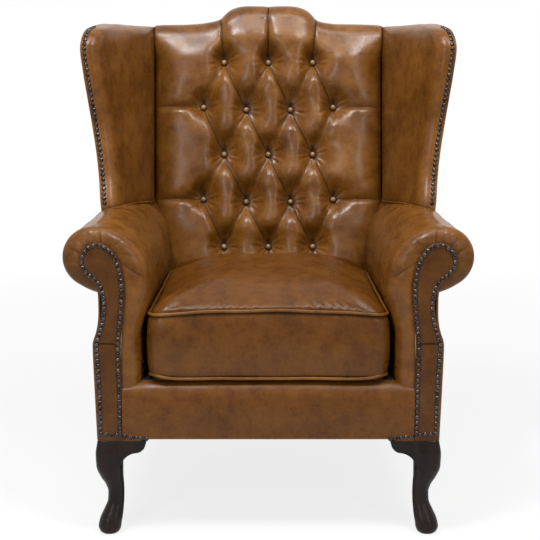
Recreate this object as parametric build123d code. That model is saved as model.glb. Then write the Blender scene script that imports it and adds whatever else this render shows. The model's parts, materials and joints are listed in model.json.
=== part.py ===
from build123d import *
import math
import os

# Wingback armchair with a deep-buttoned leather back, scrolled arms, a loose box cushion and
# cabriole front legs. The front faces -Y, +Z is up, and the floor is at z = 0. Left is -X.
# Lengths are in millimetres and angles in degrees.

# Overall stance
clearance = 0.3
flatness = 0.00001
front_reach = 400.0
seat_frame_depth = 600.0
base_half_width = 354.0
leg_height = 204.0
rail_height = 96.0
toe_angle = 2.3
overrun = 40.0

# Timber frame
rail_thickness = 45.0
post_depth = 45.0
tacking_rail_height = 40.0
tacking_rail_thickness = 25.0
tacking_rail_lift = 12.0
corner_block_side = 60.0
corner_block_height = 70.0
corner_screw_radius = 4.5
corner_screw_head = 3.0
corner_screw_spacing = 30.0

# Leather over board
skin = 4.0
facing_thickness = 6.0
post_inset = 6.0

# Scrolled arm
arm_height = 646.0
roll_radius = 62.0
roll_overhang = 64.0
arm_width = 92.0
arm_bulge = 20.0
arm_bulge_foot_drop = 221.0
arm_bulge_drop = 141.0
arm_tuck_width = 12.0
arm_nose_chamfer = 12.0

# Arm facing, a scroll seen from the front
facing_width = 53.0
facing_foot_width = 49.0
shoulder_flare = 2.0
shoulder_drop = 238.0
neck_width = 45.0
neck_inset = 17.0
neck_drop = 77.0
neck_round = 18.0
scroll_inset = 12.0
scroll_drop = 69.0
scroll_radius = 39.0

# Back frame and padded back
recline = 11.0
back_bend_height = 330.0
back_frame_thickness = 50.0
back_side_lap = 19.0
back_post_width = 60.0
back_length = 731.0
crest_rise = 47.0
crest_top_half_width = 70.0
crest_foot_half_width = 150.0
crest_leather = 14.0
crest_round = 24.0
crest_rail_height = 90.0
crest_ogee_share = 0.43
lower_back_rail_height = 50.0
webbing_thickness = 2.0
webbing_width = 50.0
upright_straps = 4
cross_straps = 6
back_pad_thickness = 58.0
tuft_depth = 26.0
outside_back_inset = 6.0

# Button tufting
button_column_pitch = 109.0
button_row_pitch = 113.5
button_first_row = 181.5
button_radius = 7.5
button_crown = 4.0
button_shoulder_share = 0.75
button_crown_share = 0.3
button_dome_share = 0.75
button_sides = 10
button_seat_depth = 6.0
dimple_floor_radius = 9.0
dimple_mouth_radius = 21.0
dimple_sides = 10
tuft_edge_margin = 10.0

# Wings
wing_base_drop = 56.0
wing_crest_lap = 9.43
wing_depth = 285.0
wing_flare = 90.0
wing_front_thickness = 36.0
wing_timber = 20.0
wing_post_width = 42.0
wing_nose = 12.0
wing_nose_round = 9.0
wing_crown = 9.0
wing_rail_foot_share = 0.760
wing_rail_top_share = 0.931

# Seat deck
spring_count = 5
spring_wire = 3.6
spring_half_wave = 30.0
spring_amplitude = 22.0
spring_side_gap = 62.0
spring_bearing = 24.0
clip_length = 10.0
clip_width = 16.0
clip_thickness = 1.2
cloth = 1.6
deck_pad_thickness = 20.0
border_pad = 12.0
lip_height = 25.0
lip_depth = 28.0
lip_round = 12.0

# Loose cushion
cushion_side_gap = 20.5
cushion_front_setback = 9.0
cushion_side_height = 141.0
cushion_crown = 56.0
cushion_pull = 5.0
cushion_corner = 22.0
cushion_cover_thickness = 5.0
piping_radius = 4.0
piping_standoff = 1.0
piping_sides = 6
cushion_back_gap = 2.0

# Front legs
leg_foot_radius = 24.0
knee_ear_reach = 100.0
knee_ear_depth = 54.0
knee_ear_lip = 26.0
knee_ear_thickness = 30.0
knee_ear_turn_share = 0.7
knee_ear_bow_shares = (0.12, 0.62)
knee_ear_slope = -0.25
leg_sides = 16
leg_bolt_radius = 4.0
leg_bolt_length = 40.0

# Rear legs
rear_leg_rake = 78.0
rear_leg_splay = 6.0
rear_foot_width = 34.0
rear_leg_curve_share = 1.7

# Decorative nails
nail_radius = 4.6
nail_height = 3.0
nail_pitch = 11.0
nail_inset = 5.5
nail_sides = 6
wing_nail_inset = 11.0
rail_nail_count = 5

# Front leg sections from the floor up: height share of the leg, distance of the section's
# centre in from both outer faces, its half width, as shares of the foot radius, and its
# corner roundness as a share of the half width.
front_leg_shares = (
    (0.00, 0.88, 0.62, 0.94),
    (0.02, 0.88, 0.84, 0.94),
    (0.07, 0.88, 0.99, 0.94),
    (0.14, 0.98, 0.98, 0.94),
    (0.24, 1.22, 0.84, 0.94),
    (0.33, 1.40, 0.71, 0.94),
    (0.42, 1.43, 0.70, 0.92),
    (0.50, 1.34, 0.78, 0.88),
    (0.60, 1.12, 0.97, 0.80),
    (0.72, 0.97, 1.13, 0.66),
    (0.84, 0.96, 1.14, 0.52),
    (1.00, 1.06, 1.04, 0.40),
)

# Wing front edge from the arm up: height share of the wing, how far it stands forward of the
# back frame as a share of the wing depth, and its outward reach as a share of the wing flare.
wing_edge_shares = (
    (0.000, 1.000, 0.42),
    (0.150, 0.912, 0.54),
    (0.278, 0.807, 0.61),
    (0.397, 0.754, 0.69),
    (0.515, 0.737, 0.78),
    (0.633, 0.765, 0.86),
    (0.760, 0.807, 0.94),
    (0.878, 0.818, 1.00),
    (0.931, 0.772, 0.97),
    (0.972, 0.649, 0.89),
    (1.000, 0.440, 0.76),
)

# Pillow sections of a tuft: scale about its middle, and height as a share of the tuft depth.
pillow_shares = ((0.975, -0.20), (0.93, 0.46), (0.78, 0.84), (0.50, 1.0))

# Cushion sections from front to back: place along the depth, and height of the crown.
cushion_shares = (
    (0.00, 0.06),
    (0.05, 0.50),
    (0.25, 0.86),
    (0.75, 1.00),
    (0.95, 0.64),
    (1.00, 0.06),
)
cushion_rear_width_share = 0.92

front_y = -front_reach
back_y = front_y + seat_frame_depth
rail_top = leg_height + rail_height
recline_slope = math.tan(math.radians(recline))
toe_slope = math.tan(math.radians(toe_angle))
frame_slant = back_frame_thickness / math.cos(math.radians(recline))
rail_outer = base_half_width - skin - clearance
post_front_y = front_y + facing_thickness
roll_reach = base_half_width + roll_overhang
seat_half_width = base_half_width - arm_width
scroll_height = arm_height - scroll_drop
neck_height = scroll_height - neck_drop
shoulder_height = arm_height - shoulder_drop
arm_bulge_height = arm_height - arm_bulge_drop
arm_bulge_start = arm_height - arm_bulge_foot_drop
spring_pitch = 2 * (seat_half_width - spring_side_gap) / (spring_count - 1)
facing_inner = base_half_width - facing_width
shoulder_reach = base_half_width + shoulder_flare
neck_outer = base_half_width - neck_inset
neck_inner = neck_outer - neck_width
scroll_reach = base_half_width - scroll_inset
back_half_width = seat_half_width + back_side_lap
cushion_half_width = seat_half_width - cushion_side_gap
post_rear_y = post_front_y + post_depth
roll_x = roll_reach - roll_radius
roll_z = arm_height - roll_radius
side_plane = Plane(
    origin=(0, front_y, 0),
    x_dir=(math.cos(math.radians(toe_angle)), math.sin(math.radians(toe_angle)), 0),
    z_dir=(math.sin(math.radians(toe_angle)), -math.cos(math.radians(toe_angle)), 0),
)
back_plane = Plane(
    origin=(0, back_y, back_bend_height),
    x_dir=(1, 0, 0),
    z_dir=(0, -math.cos(math.radians(recline)), math.sin(math.radians(recline))),
)
tuft_front = back_pad_thickness + tuft_depth
post_outer = base_half_width - skin - seat_frame_depth * toe_slope
post_inner = post_outer - back_post_width
back_outer = post_outer + skin + 2 * clearance
rail_inner = facing_inner + post_inset
wing_timber_inset = skin + 4 * clearance
frame_end_y = back_y + frame_slant + 2 * overrun
wing_base_height = arm_height - wing_base_drop
wing_top_height = back_bend_height + back_length * math.cos(math.radians(recline)) + wing_crest_lap
wing_height = wing_top_height - wing_base_height
wing_heights = [share[0] for share in wing_edge_shares]
wing_rail_foot = wing_heights.index(wing_rail_foot_share)
wing_rail_top = wing_heights.index(wing_rail_top_share)
deck_bottom = rail_top + spring_wire + clip_thickness + clearance
deck_top = deck_bottom + 2 * cloth + deck_pad_thickness + 2 * clearance
parts = {}


def toe_shift(y):
    """How far the sides have drawn in at y, seen from above."""
    return (y - front_y) * toe_slope


def frame_y(z):
    """Front face of the reclined back frame at height z."""
    return back_y + (z - back_bend_height) * recline_slope


def run_back(sketch, y0, y1):
    """A front-view sketch run from y0 to y1 along the toed-in side."""
    reach = y1 - y0 + 2 * overrun
    run = extrude(side_plane.offset(front_y - y0 + overrun) * sketch, amount=-reach)
    return run & block(0, 2 * roll_reach, y0, y1, 0, 2 * arm_height)


def on_back(sketch, low, high):
    """A sketch drawn on the back frame's front face, as a slab between two distances from it."""
    return extrude(back_plane.offset(low) * sketch, amount=high - low)


def block(x0, x1, y0, y1, z0, z1):
    """A square-cut block between two corners."""
    return Pos((x0 + x1) / 2, (y0 + y1) / 2, (z0 + z1) / 2) * Box(x1 - x0, y1 - y0, z1 - z0)


def outline(*edges):
    """A closed face from edges in order."""
    return make_face(Curve() + list(edges))


def faceted(rings):
    """A closed solid with flat facets through rings of points, each with as many points."""
    faces = [make_face(Polyline(*rings[0], close=True)).faces()[0]]
    faces.append(make_face(Polyline(*rings[-1], close=True)).faces()[0])
    for low, high in zip(rings, rings[1:]):
        for i in range(len(low)):
            a, b, c, d = low[i - 1], low[i], high[i], high[i - 1]
            normal = (b - a).cross(c - a).normalized()
            if abs(normal.dot(d - a)) < flatness:
                faces.append(Face(Wire.make_polygon([a, b, c, d])))
            elif a.Y < b.Y:
                faces.append(Face(Wire.make_polygon([a, b, c])))
                faces.append(Face(Wire.make_polygon([a, c, d])))
            else:
                faces.append(Face(Wire.make_polygon([a, b, d])))
                faces.append(Face(Wire.make_polygon([b, c, d])))
    return Solid(Shell(faces))


def behind_back(low_half_width, high_half_width, level):
    """Everything behind a plane parallel to the back frame, between two distances from the middle."""
    reach = back_length + crest_rise + back_bend_height
    middle = (low_half_width + high_half_width) / 2
    width = high_half_width - low_half_width
    return on_back(Pos(middle, 0) * Rectangle(width, 2 * reach), level - reach, level)


def both_sides(name, solid):
    """Keep a right-hand piece and its left-hand mirror image."""
    parts[name + "_right"] = solid
    parts[name + "_left"] = mirror(solid, about=Plane.YZ)


def facing_outline():
    """Front view of the arm facing: a tapering stem that ends in a scroll."""
    foot_inner = (facing_inner, leg_height)
    foot_outer = (facing_inner + facing_foot_width, leg_height)
    shoulder = (shoulder_reach, shoulder_height)
    neck_out = (neck_outer, neck_height)
    scroll_out = (neck_outer, scroll_height)
    scroll_in = (scroll_reach - scroll_radius, scroll_height)
    neck_in = (neck_inner, neck_height)
    waist_in = (facing_inner, (leg_height + shoulder_height) / 2)
    lower = Line(foot_outer, shoulder)
    sweep_out = TangentArc(neck_out, shoulder, tangent=(0, -1))
    stem = outline(
        Line(foot_inner, foot_outer),
        lower,
        sweep_out,
        Line(neck_out, scroll_out),
        Line(scroll_out, scroll_in),
        TangentArc(neck_in, scroll_in, tangent=(0, 1)),
        TangentArc(neck_in, waist_in, tangent=(0, -1)),
        Line(waist_in, foot_inner),
    )
    board = stem + Pos(scroll_reach, scroll_height) * Circle(scroll_radius)
    below_scroll = (neck_outer, scroll_height - scroll_radius, 0)
    return fillet(board.vertices().sort_by_distance(below_scroll)[0], neck_round)


def post_outline():
    return offset(facing_outline(), amount=-post_inset)


def arm_pad_outline():
    """Front view of the padded arm: the inner face, the bulge over the seat and the roll."""
    low_in = (seat_half_width, rail_top + clearance)
    start = (seat_half_width, arm_bulge_start)
    middle = (seat_half_width - arm_bulge / 2, (arm_bulge_start + arm_bulge_height) / 2)
    widest = (seat_half_width - arm_bulge, arm_bulge_height)
    roll_centre = (roll_x, roll_z)
    under = (roll_x, roll_z - roll_radius)
    inner_end = facing_inner + arm_tuck_width
    first = TangentArc(start, middle, tangent=(0, 1))
    second = TangentArc(middle, widest, tangent=first % 1)
    crown_radius = roll_x - widest[0]
    crown_height = arm_height - crown_radius
    return outline(
        Line(low_in, start),
        first,
        second,
        Line(widest, (widest[0], crown_height)),
        CenterArc((roll_x, crown_height), crown_radius, 90, 90),
        CenterArc(roll_centre, roll_radius, 0, 90),
        CenterArc(roll_centre, roll_radius, 270, 90),
        Line(under, (inner_end, under[1])),
        Line((inner_end, under[1]), (inner_end, low_in[1])),
        Line((inner_end, low_in[1]), low_in),
    )


def arm_panel_section(y, foot_x, shoulder_x, neck_x):
    """Cross-section of the outside arm panel at y, given its outer face at three heights."""
    top = roll_z - roll_radius - clearance
    bow_x = neck_x + (shoulder_x - neck_x) / 4
    bow_height = (neck_height + shoulder_height) / 2
    return Plane.XZ.offset(-y) * outline(
        Line((foot_x - skin, leg_height), (foot_x, leg_height)),
        Line((foot_x, leg_height), (shoulder_x, shoulder_height)),
        ThreePointArc((shoulder_x, shoulder_height), (bow_x, bow_height), (neck_x, neck_height)),
        Line((neck_x, neck_height), (neck_x, top)),
        Line((neck_x, top), (neck_x - skin, top)),
        Line((neck_x - skin, top), (neck_x - skin, neck_height)),
        ThreePointArc(
            (neck_x - skin, neck_height),
            (bow_x - skin, bow_height),
            (shoulder_x - skin, shoulder_height),
        ),
        Line((shoulder_x - skin, shoulder_height), (foot_x - skin, leg_height)),
    )


def make_arm_panels():
    """Outside arm panels, hollow under the roll in front and flat at the back post."""
    front = arm_panel_section(
        post_front_y, base_half_width, shoulder_reach + post_inset / 2, neck_outer + 2 * skin
    )
    rear = arm_panel_section(
        frame_end_y, back_outer, back_outer + clearance, back_outer - clearance
    )
    panel = loft([front, rear], ruled=True)
    both_sides("outside_arm", panel - behind_back(0, roll_reach, -back_frame_thickness))


def make_arms():
    """Scrolled arms: post, rail, tacking rail, facing and padded inside."""
    post = post_outline()
    rail_low = shoulder_height + tacking_rail_height
    rail_region = Pos(roll_x, arm_height) * Rectangle(4 * roll_radius, 2 * (arm_height - rail_low))
    behind_frame = behind_back(0, roll_reach, clearance)
    back_room = behind_back(0, back_half_width + clearance, tuft_front + clearance)
    facing = run_back(facing_outline(), front_y, post_front_y)
    arm_post = run_back(post, post_front_y, post_rear_y)
    arm_post -= leg_bolt_hole(front_bolt_x, front_bolt_y)
    arm_rail = run_back(post & rail_region, post_rear_y, frame_end_y) - behind_frame - back_room
    tacking_middle = rail_top + tacking_rail_lift + tacking_rail_height / 2
    tacking_profile = Pos(rail_inner + tacking_rail_thickness / 2, tacking_middle) * Rectangle(
        tacking_rail_thickness, tacking_rail_height
    )
    tacking_rail = run_back(tacking_profile, post_rear_y, back_y) - behind_frame

    pad = run_back(arm_pad_outline(), post_front_y, frame_end_y)
    front_edges = pad.edges().filter_by_position(
        Axis.Y, post_front_y - clearance, post_front_y + clearance
    )
    nose = [e for e in front_edges if e.geom_type != GeomType.LINE or e.center().X < seat_half_width]
    pad = chamfer(nose, arm_nose_chamfer)
    pad -= run_back(offset(post, amount=clearance), post_front_y - overrun, frame_end_y + overrun)
    pad -= behind_back(0, post_outer + clearance, clearance)
    pad -= behind_back(0, roll_reach, -back_frame_thickness)
    pad -= back_room
    pad -= wing_slab(
        wing_timber_inset - clearance,
        wing_timber_inset + wing_timber + clearance,
        wing_nose - clearance,
        wing_nose + wing_post_width + clearance,
        0,
        wing_rail_foot,
    )
    both_sides("arm_facing", facing)
    both_sides("arm_post", arm_post)
    both_sides("arm_rail", arm_rail)
    both_sides("arm_tacking_rail", tacking_rail)
    both_sides("inside_arm", pad)


def wing_section(level):
    """Plan of the wing at one level: its front corner, the way back, the way in and the rear."""
    height_share, forward_share, flare_share = wing_edge_shares[level]
    z = wing_base_height + wing_height * height_share
    front = Vector(back_outer + wing_flare * flare_share, back_y - wing_depth * forward_share, z)
    rear = Vector(back_outer, frame_y(z) + frame_slant, z)
    back = (rear - front).normalized()
    inward = Vector(-back.Y, back.X, 0)
    return front, back, inward, rear


def wing_point(level, inset, along):
    """A point on the wing, inset from its outer face and set back along it."""
    front, back, inward, rear = wing_section(level)
    return front + inward * inset + back * along


def wing_point_at(level, inset, y):
    """A point on the wing, inset from its outer face, where it reaches y."""
    front, back, inward, rear = wing_section(level)
    start = front + inward * inset
    return start + back * ((y - start.Y) / back.Y)


def wing_loft(points_at, low, high):
    """A solid through plan sections from one level of the wing to another."""
    return faceted([points_at(level) for level in range(low, high + 1)])


def wing_slab(inset_0, inset_1, along_0, along_1, low, high):
    """A board inside the wing between two insets and two distances from its front edge."""

    def points_at(level):
        return [
            wing_point(level, inset_0, along_0),
            wing_point(level, inset_0, along_1),
            wing_point(level, inset_1, along_1),
            wing_point(level, inset_1, along_0),
        ]

    return wing_loft(points_at, low, high)


def wing_pad_inner(level):
    """The padded face of the wing, from the back pad's side round to the rounded front edge."""
    front, back, inward, rear = wing_section(level)
    seam_x = back_half_width + clearance
    seam_y = frame_y(front.Z) - back_pad_thickness / math.cos(math.radians(recline))
    seam = Vector(seam_x, seam_y, front.Z)
    shoulder = wing_point(level, wing_front_thickness, wing_nose)
    crown = (seam + shoulder) / 2 + inward * wing_crown
    lip = wing_point(level, wing_front_thickness - wing_nose_round, 0)
    return seam, crown, shoulder, lip


def make_wings():
    """Flat wings: front post, top rail, outside panel and padded inside."""
    first = skin + clearance
    timber = wing_timber_inset
    second = timber + wing_timber
    third = second + clearance
    top_level = len(wing_edge_shares) - 1
    arm_room = run_back(offset(arm_pad_outline(), amount=clearance), front_y, frame_end_y)
    rail_room = run_back(offset(post_outline(), amount=clearance), front_y, frame_end_y)

    def outside_points(level):
        rear = wing_section(level)[3]
        return [
            wing_point(level, 0, 0),
            rear,
            wing_point_at(level, skin, rear.Y),
            wing_point(level, skin, 0),
        ]

    def rail_points(level):
        frame_front = frame_y(wing_section(level)[0].Z) - clearance
        return [
            wing_point(level, timber, wing_nose),
            wing_point_at(level, timber, frame_front),
            wing_point_at(level, second, frame_front),
            wing_point(level, second, wing_nose),
        ]

    def pad_points(level):
        seam, crown, shoulder, lip = wing_pad_inner(level)
        rear = wing_section(level)[3]
        return [
            wing_point(level, first, 0),
            wing_point_at(level, first, rear.Y),
            Vector(seam.X, rear.Y, seam.Z),
            seam,
            crown,
            shoulder,
            lip,
        ]

    def frame_room_points(level):
        seam = wing_pad_inner(level)[0]
        rear_y = wing_section(level)[3].Y + overrun
        frame_front = frame_y(seam.Z) - clearance
        return [
            wing_point(level, 0, wing_nose - clearance),
            wing_point(level, third, wing_nose - clearance),
            wing_point_at(level, third, frame_front),
            Vector(seam.X - overrun, frame_front, seam.Z),
            Vector(seam.X - overrun, rear_y, seam.Z),
            wing_point_at(level, 0, rear_y),
        ]

    post = wing_slab(timber, second, wing_nose, wing_nose + wing_post_width, 0, wing_rail_foot)
    post -= rail_room
    rail = wing_loft(rail_points, wing_rail_foot, wing_rail_top)
    outside = wing_loft(outside_points, 0, top_level) - arm_room
    pad = wing_loft(pad_points, 0, top_level) - wing_loft(frame_room_points, 0, wing_rail_top)
    pad -= arm_room
    above_back = on_back(
        Pos(0, back_length * 3 / 2) * Rectangle(2 * roll_reach, back_length),
        -2 * back_frame_thickness,
        back_pad_thickness,
    )
    outside -= above_back
    pad -= above_back
    both_sides("wing_post", post)
    both_sides("wing_rail", rail)
    both_sides("outside_wing", outside)
    both_sides("inside_wing", pad)


def crest_outline(half_width):
    """Front view of the back with its raised crest, drawn on the reclined back frame."""
    shoulder = back_length
    top = back_length + crest_rise
    foot = (crest_foot_half_width, shoulder)
    peak = (crest_top_half_width, top)
    turn = (
        foot[0] + (peak[0] - foot[0]) * crest_ogee_share,
        foot[1] + (peak[1] - foot[1]) * crest_ogee_share,
    )
    rise = TangentArc(foot, turn, tangent=(-1, 0))
    fall = TangentArc(turn, peak, tangent=rise % 1)
    right = Curve() + [
        Line((half_width, -back_bend_height), (half_width, shoulder)),
        Line((half_width, shoulder), foot),
        rise,
        fall,
        Line(peak, (0, top)),
    ]
    left = mirror(right, about=Plane.YZ)
    base = Line((-half_width, -back_bend_height), (half_width, -back_bend_height))
    return make_face(Curve() + [right, left, base])


def inset_crest(half_width, inset):
    """The crest outline lowered by an inset, with its sides left at the half width."""
    return offset(crest_outline(half_width + inset), amount=-inset)


def button_places():
    """Buttons in five rows of three and four, as places on the back frame."""
    places = []
    for row in range(5):
        columns = (-2, 0, 2) if row % 2 == 0 else (-3, -1, 1, 3)
        height = button_first_row + row * button_row_pitch
        places += [(column * button_column_pitch / 2, height) for column in columns]
    return places


def tuft_outlines():
    """Pillow outlines between the pleats: diamonds, then the panels that run out to the edges."""
    half = button_column_pitch / 2
    side = back_half_width - tuft_edge_margin
    rows = [button_first_row + row * button_row_pitch for row in range(5)]
    low = rows[0] - 2 * button_row_pitch
    shoulder = back_length - crest_round
    top = back_length + crest_rise - crest_round
    outlines = []
    for row in (1, 2, 3):
        columns = (-2, 0, 2) if row % 2 == 1 else (-1, 1)
        for column in columns:
            middle = column * half
            outlines.append(
                [
                    (middle, rows[row - 1]),
                    (middle + half, rows[row]),
                    (middle, rows[row + 1]),
                    (middle - half, rows[row]),
                ]
            )
    for hand in (-1, 1):
        inner_foot = [
            (0, low),
            (0, rows[0]),
            (hand * half, rows[1]),
            (hand * 2 * half, rows[0]),
            (hand * 2 * half, low),
        ]
        outer_foot = [
            (hand * 2 * half, low),
            (hand * 2 * half, rows[0]),
            (hand * 3 * half, rows[1]),
            (hand * side, rows[1]),
            (hand * side, low),
        ]
        flank = [
            (hand * 3 * half, rows[1]),
            (hand * 2 * half, rows[2]),
            (hand * 3 * half, rows[3]),
            (hand * side, rows[3]),
            (hand * side, rows[1]),
        ]
        outer_head = [
            (hand * 3 * half, rows[3]),
            (hand * 2 * half, rows[4]),
            (hand * 2 * half, shoulder),
            (hand * side, shoulder),
            (hand * side, rows[3]),
        ]
        inner_head = [
            (0, rows[4]),
            (hand * half, rows[3]),
            (hand * 2 * half, rows[4]),
            (hand * 2 * half, shoulder),
            (hand * crest_top_half_width, top),
            (0, top),
        ]
        outlines += [inner_foot, outer_foot, flank, outer_head, inner_head]
    return outlines


def pillow(points):
    """One stuffed pillow of the tufting, rising from its pleats in sloping rings."""
    middle = Vector(
        sum(x for x, y in points) / len(points),
        sum(y for x, y in points) / len(points),
    )
    rings = []
    for scale_share, height_share in pillow_shares:
        level = back_plane.offset(back_pad_thickness + tuft_depth * height_share)
        corners = [middle + (Vector(x, y) - middle) * scale_share for x, y in points]
        rings.append([level.from_local_coords(corner) for corner in corners])
    return faceted(rings)


def make_back():
    """Reclined back: posts, rails, webbing, tufted pad, buttons and the outside panel."""
    under_leather = crest_leather + clearance
    post_length = back_length - under_leather
    post_top = (
        back_bend_height
        + post_length * math.cos(math.radians(recline))
        - back_frame_thickness * math.sin(math.radians(recline))
    )
    profile = Polyline(
        (back_y, leg_height),
        (back_y + frame_slant, leg_height),
        (back_y + frame_slant, back_bend_height),
        (frame_y(post_top) + frame_slant, post_top),
        (frame_y(post_top), post_top),
        (back_y, back_bend_height),
        close=True,
    )
    post = extrude(Plane.YZ.offset(post_inner) * make_face(profile), amount=back_post_width)
    post -= leg_bolt_hole(rear_bolt_x, rear_bolt_y)
    both_sides("back_post", post)

    rail_band = Pos(0, post_length) * Rectangle(2 * post_inner, 2 * crest_rail_height)
    crest = inset_crest(back_half_width, under_leather) & rail_band
    parts["crest_rail"] = on_back(crest, -back_frame_thickness, 0)
    lower_middle = lower_back_rail_height / 2
    lower = Pos(0, lower_middle) * Rectangle(2 * post_inner, lower_back_rail_height)
    parts["lower_back_rail"] = on_back(lower, -back_frame_thickness, 0)

    webbing_top = 2 * webbing_thickness
    strap_top = back_length - crest_leather - webbing_width / 2
    upright = on_back(
        Pos(0, strap_top / 2) * Rectangle(webbing_width, strap_top), webbing_thickness, webbing_top
    )
    across = on_back(
        Rectangle(2 * (back_half_width - clearance), webbing_width), 0, webbing_thickness
    )
    straps = []
    for i in range(upright_straps):
        straps.append(Pos(post_inner * ((2 * i + 1) / upright_straps - 1), 0, 0) * upright)
    up_the_back = back_plane.y_dir
    for i in range(cross_straps):
        rise = up_the_back * (strap_top * (2 * i + 1) / (2 * cross_straps))
        straps.append(Pos(rise) * across)
    parts["back_webbing"] = Compound(children=straps)

    pad = on_back(crest_outline(back_half_width), -back_frame_thickness, back_pad_thickness)
    front_edges = pad.edges().group_by(Axis(back_plane.origin, back_plane.z_dir))[-1]
    top_edges = [e for e in front_edges if e.center().Z > arm_height and e.center().X ** 2 < post_inner**2]
    pad = fillet(top_edges, crest_round)
    for points in tuft_outlines():
        pad += pillow(points)
    under = inset_crest(back_half_width + crest_leather, crest_leather)
    pad -= on_back(under, -2 * back_frame_thickness, webbing_top + clearance)
    low = deck_bottom + cloth + clearance
    reach = back_length + crest_rise
    pad -= block(-reach, reach, -reach, reach, low - reach, low)
    seat = back_plane.offset(back_pad_thickness - button_seat_depth)
    mouth_height = button_seat_depth + tuft_depth
    dimple = seat.location * faceted(
        [
            polygon_ring(dimple_floor_radius, 0, dimple_sides),
            polygon_ring(dimple_mouth_radius, mouth_height, dimple_sides),
        ]
    )
    button = seat.offset(clearance).location * faceted(
        [
            polygon_ring(button_radius, 0, button_sides),
            polygon_ring(button_radius * button_shoulder_share, button_crown * button_dome_share, button_sides),
            polygon_ring(button_radius * button_crown_share, button_crown, button_sides),
        ]
    )
    buttons = []
    for x, height in button_places():
        shift = Vector(x, 0, 0) + up_the_back * height
        pad -= Pos(shift) * dimple
        buttons.append(Pos(shift) * button)
    parts["inside_back"] = pad
    parts["back_buttons"] = Compound(children=buttons)

    panel_outline = inset_crest(back_outer, outside_back_inset)
    outer_face = -back_frame_thickness - clearance
    panel = on_back(panel_outline, outer_face - skin, outer_face)
    panel -= block(-reach, reach, -reach, reach, back_bend_height - reach, back_bend_height)
    low_y = back_y + (back_frame_thickness + clearance) / math.cos(math.radians(recline))
    low_thickness = skin / math.cos(math.radians(recline))
    panel += block(
        -back_outer, back_outer, low_y, low_y + low_thickness, leg_height, back_bend_height
    )
    parts["outside_back"] = panel


def make_seat_frame():
    """Hardwood seat rails with glued and screwed corner blocks."""
    front_rail_y = front_y + border_pad + clearance
    front_rail_end = front_rail_y + rail_thickness
    rail_half = rail_inner - toe_shift(front_rail_end)
    parts["front_rail"] = block(
        -rail_half, rail_half, front_rail_y, front_rail_end, leg_height, rail_top
    )
    parts["back_rail"] = block(
        -post_inner, post_inner, back_y, back_y + rail_thickness, leg_height, rail_top
    )
    side_width = rail_outer - rail_inner
    side_profile = Pos(rail_inner + side_width / 2, leg_height + rail_height / 2) * Rectangle(
        side_width, rail_height
    )
    both_sides("side_rail", run_back(side_profile, post_rear_y, back_y))

    blocks = []
    screws = []
    block_low = leg_height + (rail_height - corner_block_height) / 2
    for corner_y, way in ((front_rail_end, 1), (back_y, -1)):
        y0 = corner_y + way * clearance
        y1 = y0 + way * corner_block_side
        x0 = rail_inner - toe_shift(y0) - clearance
        x1 = rail_inner - toe_shift(y1) - clearance
        right = extrude(
            Plane.XY.offset(block_low)
            * make_face(Polyline((x0, y0), (x0 - corner_block_side, y0), (x1, y1), close=True)),
            amount=corner_block_height,
        )
        face_middle = Vector((x0 - corner_block_side + x1) / 2, (y0 + y1) / 2, 0)
        outward = Vector(y0 - y1, x1 - x0 + corner_block_side, 0) * way
        for hand in (-1, 1):
            height = block_low + corner_block_height / 2 + hand * corner_screw_spacing / 2
            head = Plane(origin=(face_middle.X, face_middle.Y, height), z_dir=outward)
            screw = extrude(head * RegularPolygon(corner_screw_radius, 6), amount=corner_screw_head)
            screws += [screw, mirror(screw, about=Plane.YZ)]
        blocks += [right, mirror(right, about=Plane.YZ)]
    parts["corner_blocks"] = Compound(children=blocks)
    parts["corner_block_screws"] = Compound(children=screws)


def leg_bolt_hole(x, y):
    """A blind bore across the joint between a leg and the post that stands on it."""
    return Pos(x, y, leg_height) * Cylinder(
        leg_bolt_radius + clearance, 2 * (leg_bolt_length + clearance)
    )


def leg_ring(x, y, z, half_width, round_share):
    """A level section of the carved leg: a square rounded towards a circle."""
    ring = []
    for i in range(leg_sides):
        turn = math.pi * (2 * i + 1) / leg_sides
        square_reach = 1 / max(abs(math.cos(turn)), abs(math.sin(turn)))
        reach = half_width * (round_share + (1 - round_share) * square_reach)
        ring.append(Vector(x + reach * math.cos(turn), y + reach * math.sin(turn), z))
    return ring


def make_front_legs():
    """Cabriole legs with pad feet, and the shaped knee blocks beside them."""
    sections = []
    for height_share, inset_share, width_share, round_share in front_leg_shares:
        inset = leg_foot_radius * inset_share
        sections.append(
            leg_ring(
                base_half_width - inset,
                front_y + inset,
                leg_height * height_share,
                leg_foot_radius * width_share,
                round_share,
            )
        )
    leg = faceted(sections)
    ear_start = base_half_width - knee_ear_reach
    ear_turn = (ear_start + knee_ear_lip * knee_ear_turn_share, leg_height - knee_ear_lip)
    ear_end = (base_half_width - 2 * leg_foot_radius, leg_height - knee_ear_depth)
    convex = ThreePointArc(
        (ear_start, leg_height),
        (
            ear_start + knee_ear_lip * knee_ear_bow_shares[0],
            leg_height - knee_ear_lip * knee_ear_bow_shares[1],
        ),
        ear_turn,
    )
    concave = TangentArc(ear_end, ear_turn, tangent=(knee_ear_slope, 1))
    profile = outline(
        convex,
        concave,
        Line(ear_end, (ear_end[0] + leg_foot_radius, ear_end[1])),
        Line((ear_end[0] + leg_foot_radius, ear_end[1]), (ear_end[0] + leg_foot_radius, leg_height)),
        Line((ear_end[0] + leg_foot_radius, leg_height), (ear_start, leg_height)),
    )
    ear = extrude(Plane.XZ.offset(-front_y - clearance) * profile, amount=-knee_ear_thickness)
    ear -= leg
    ear = Pos(-clearance, 0, 0) * ear
    corner = Plane(origin=(base_half_width, front_y, 0), z_dir=(1, 1, 0))
    side_ear = mirror(ear, about=corner)
    hole = leg_bolt_hole(front_bolt_x, front_bolt_y)
    both_sides("front_leg", leg - hole)
    both_sides("knee_blocks", Compound(children=[ear, side_ear]))


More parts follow.
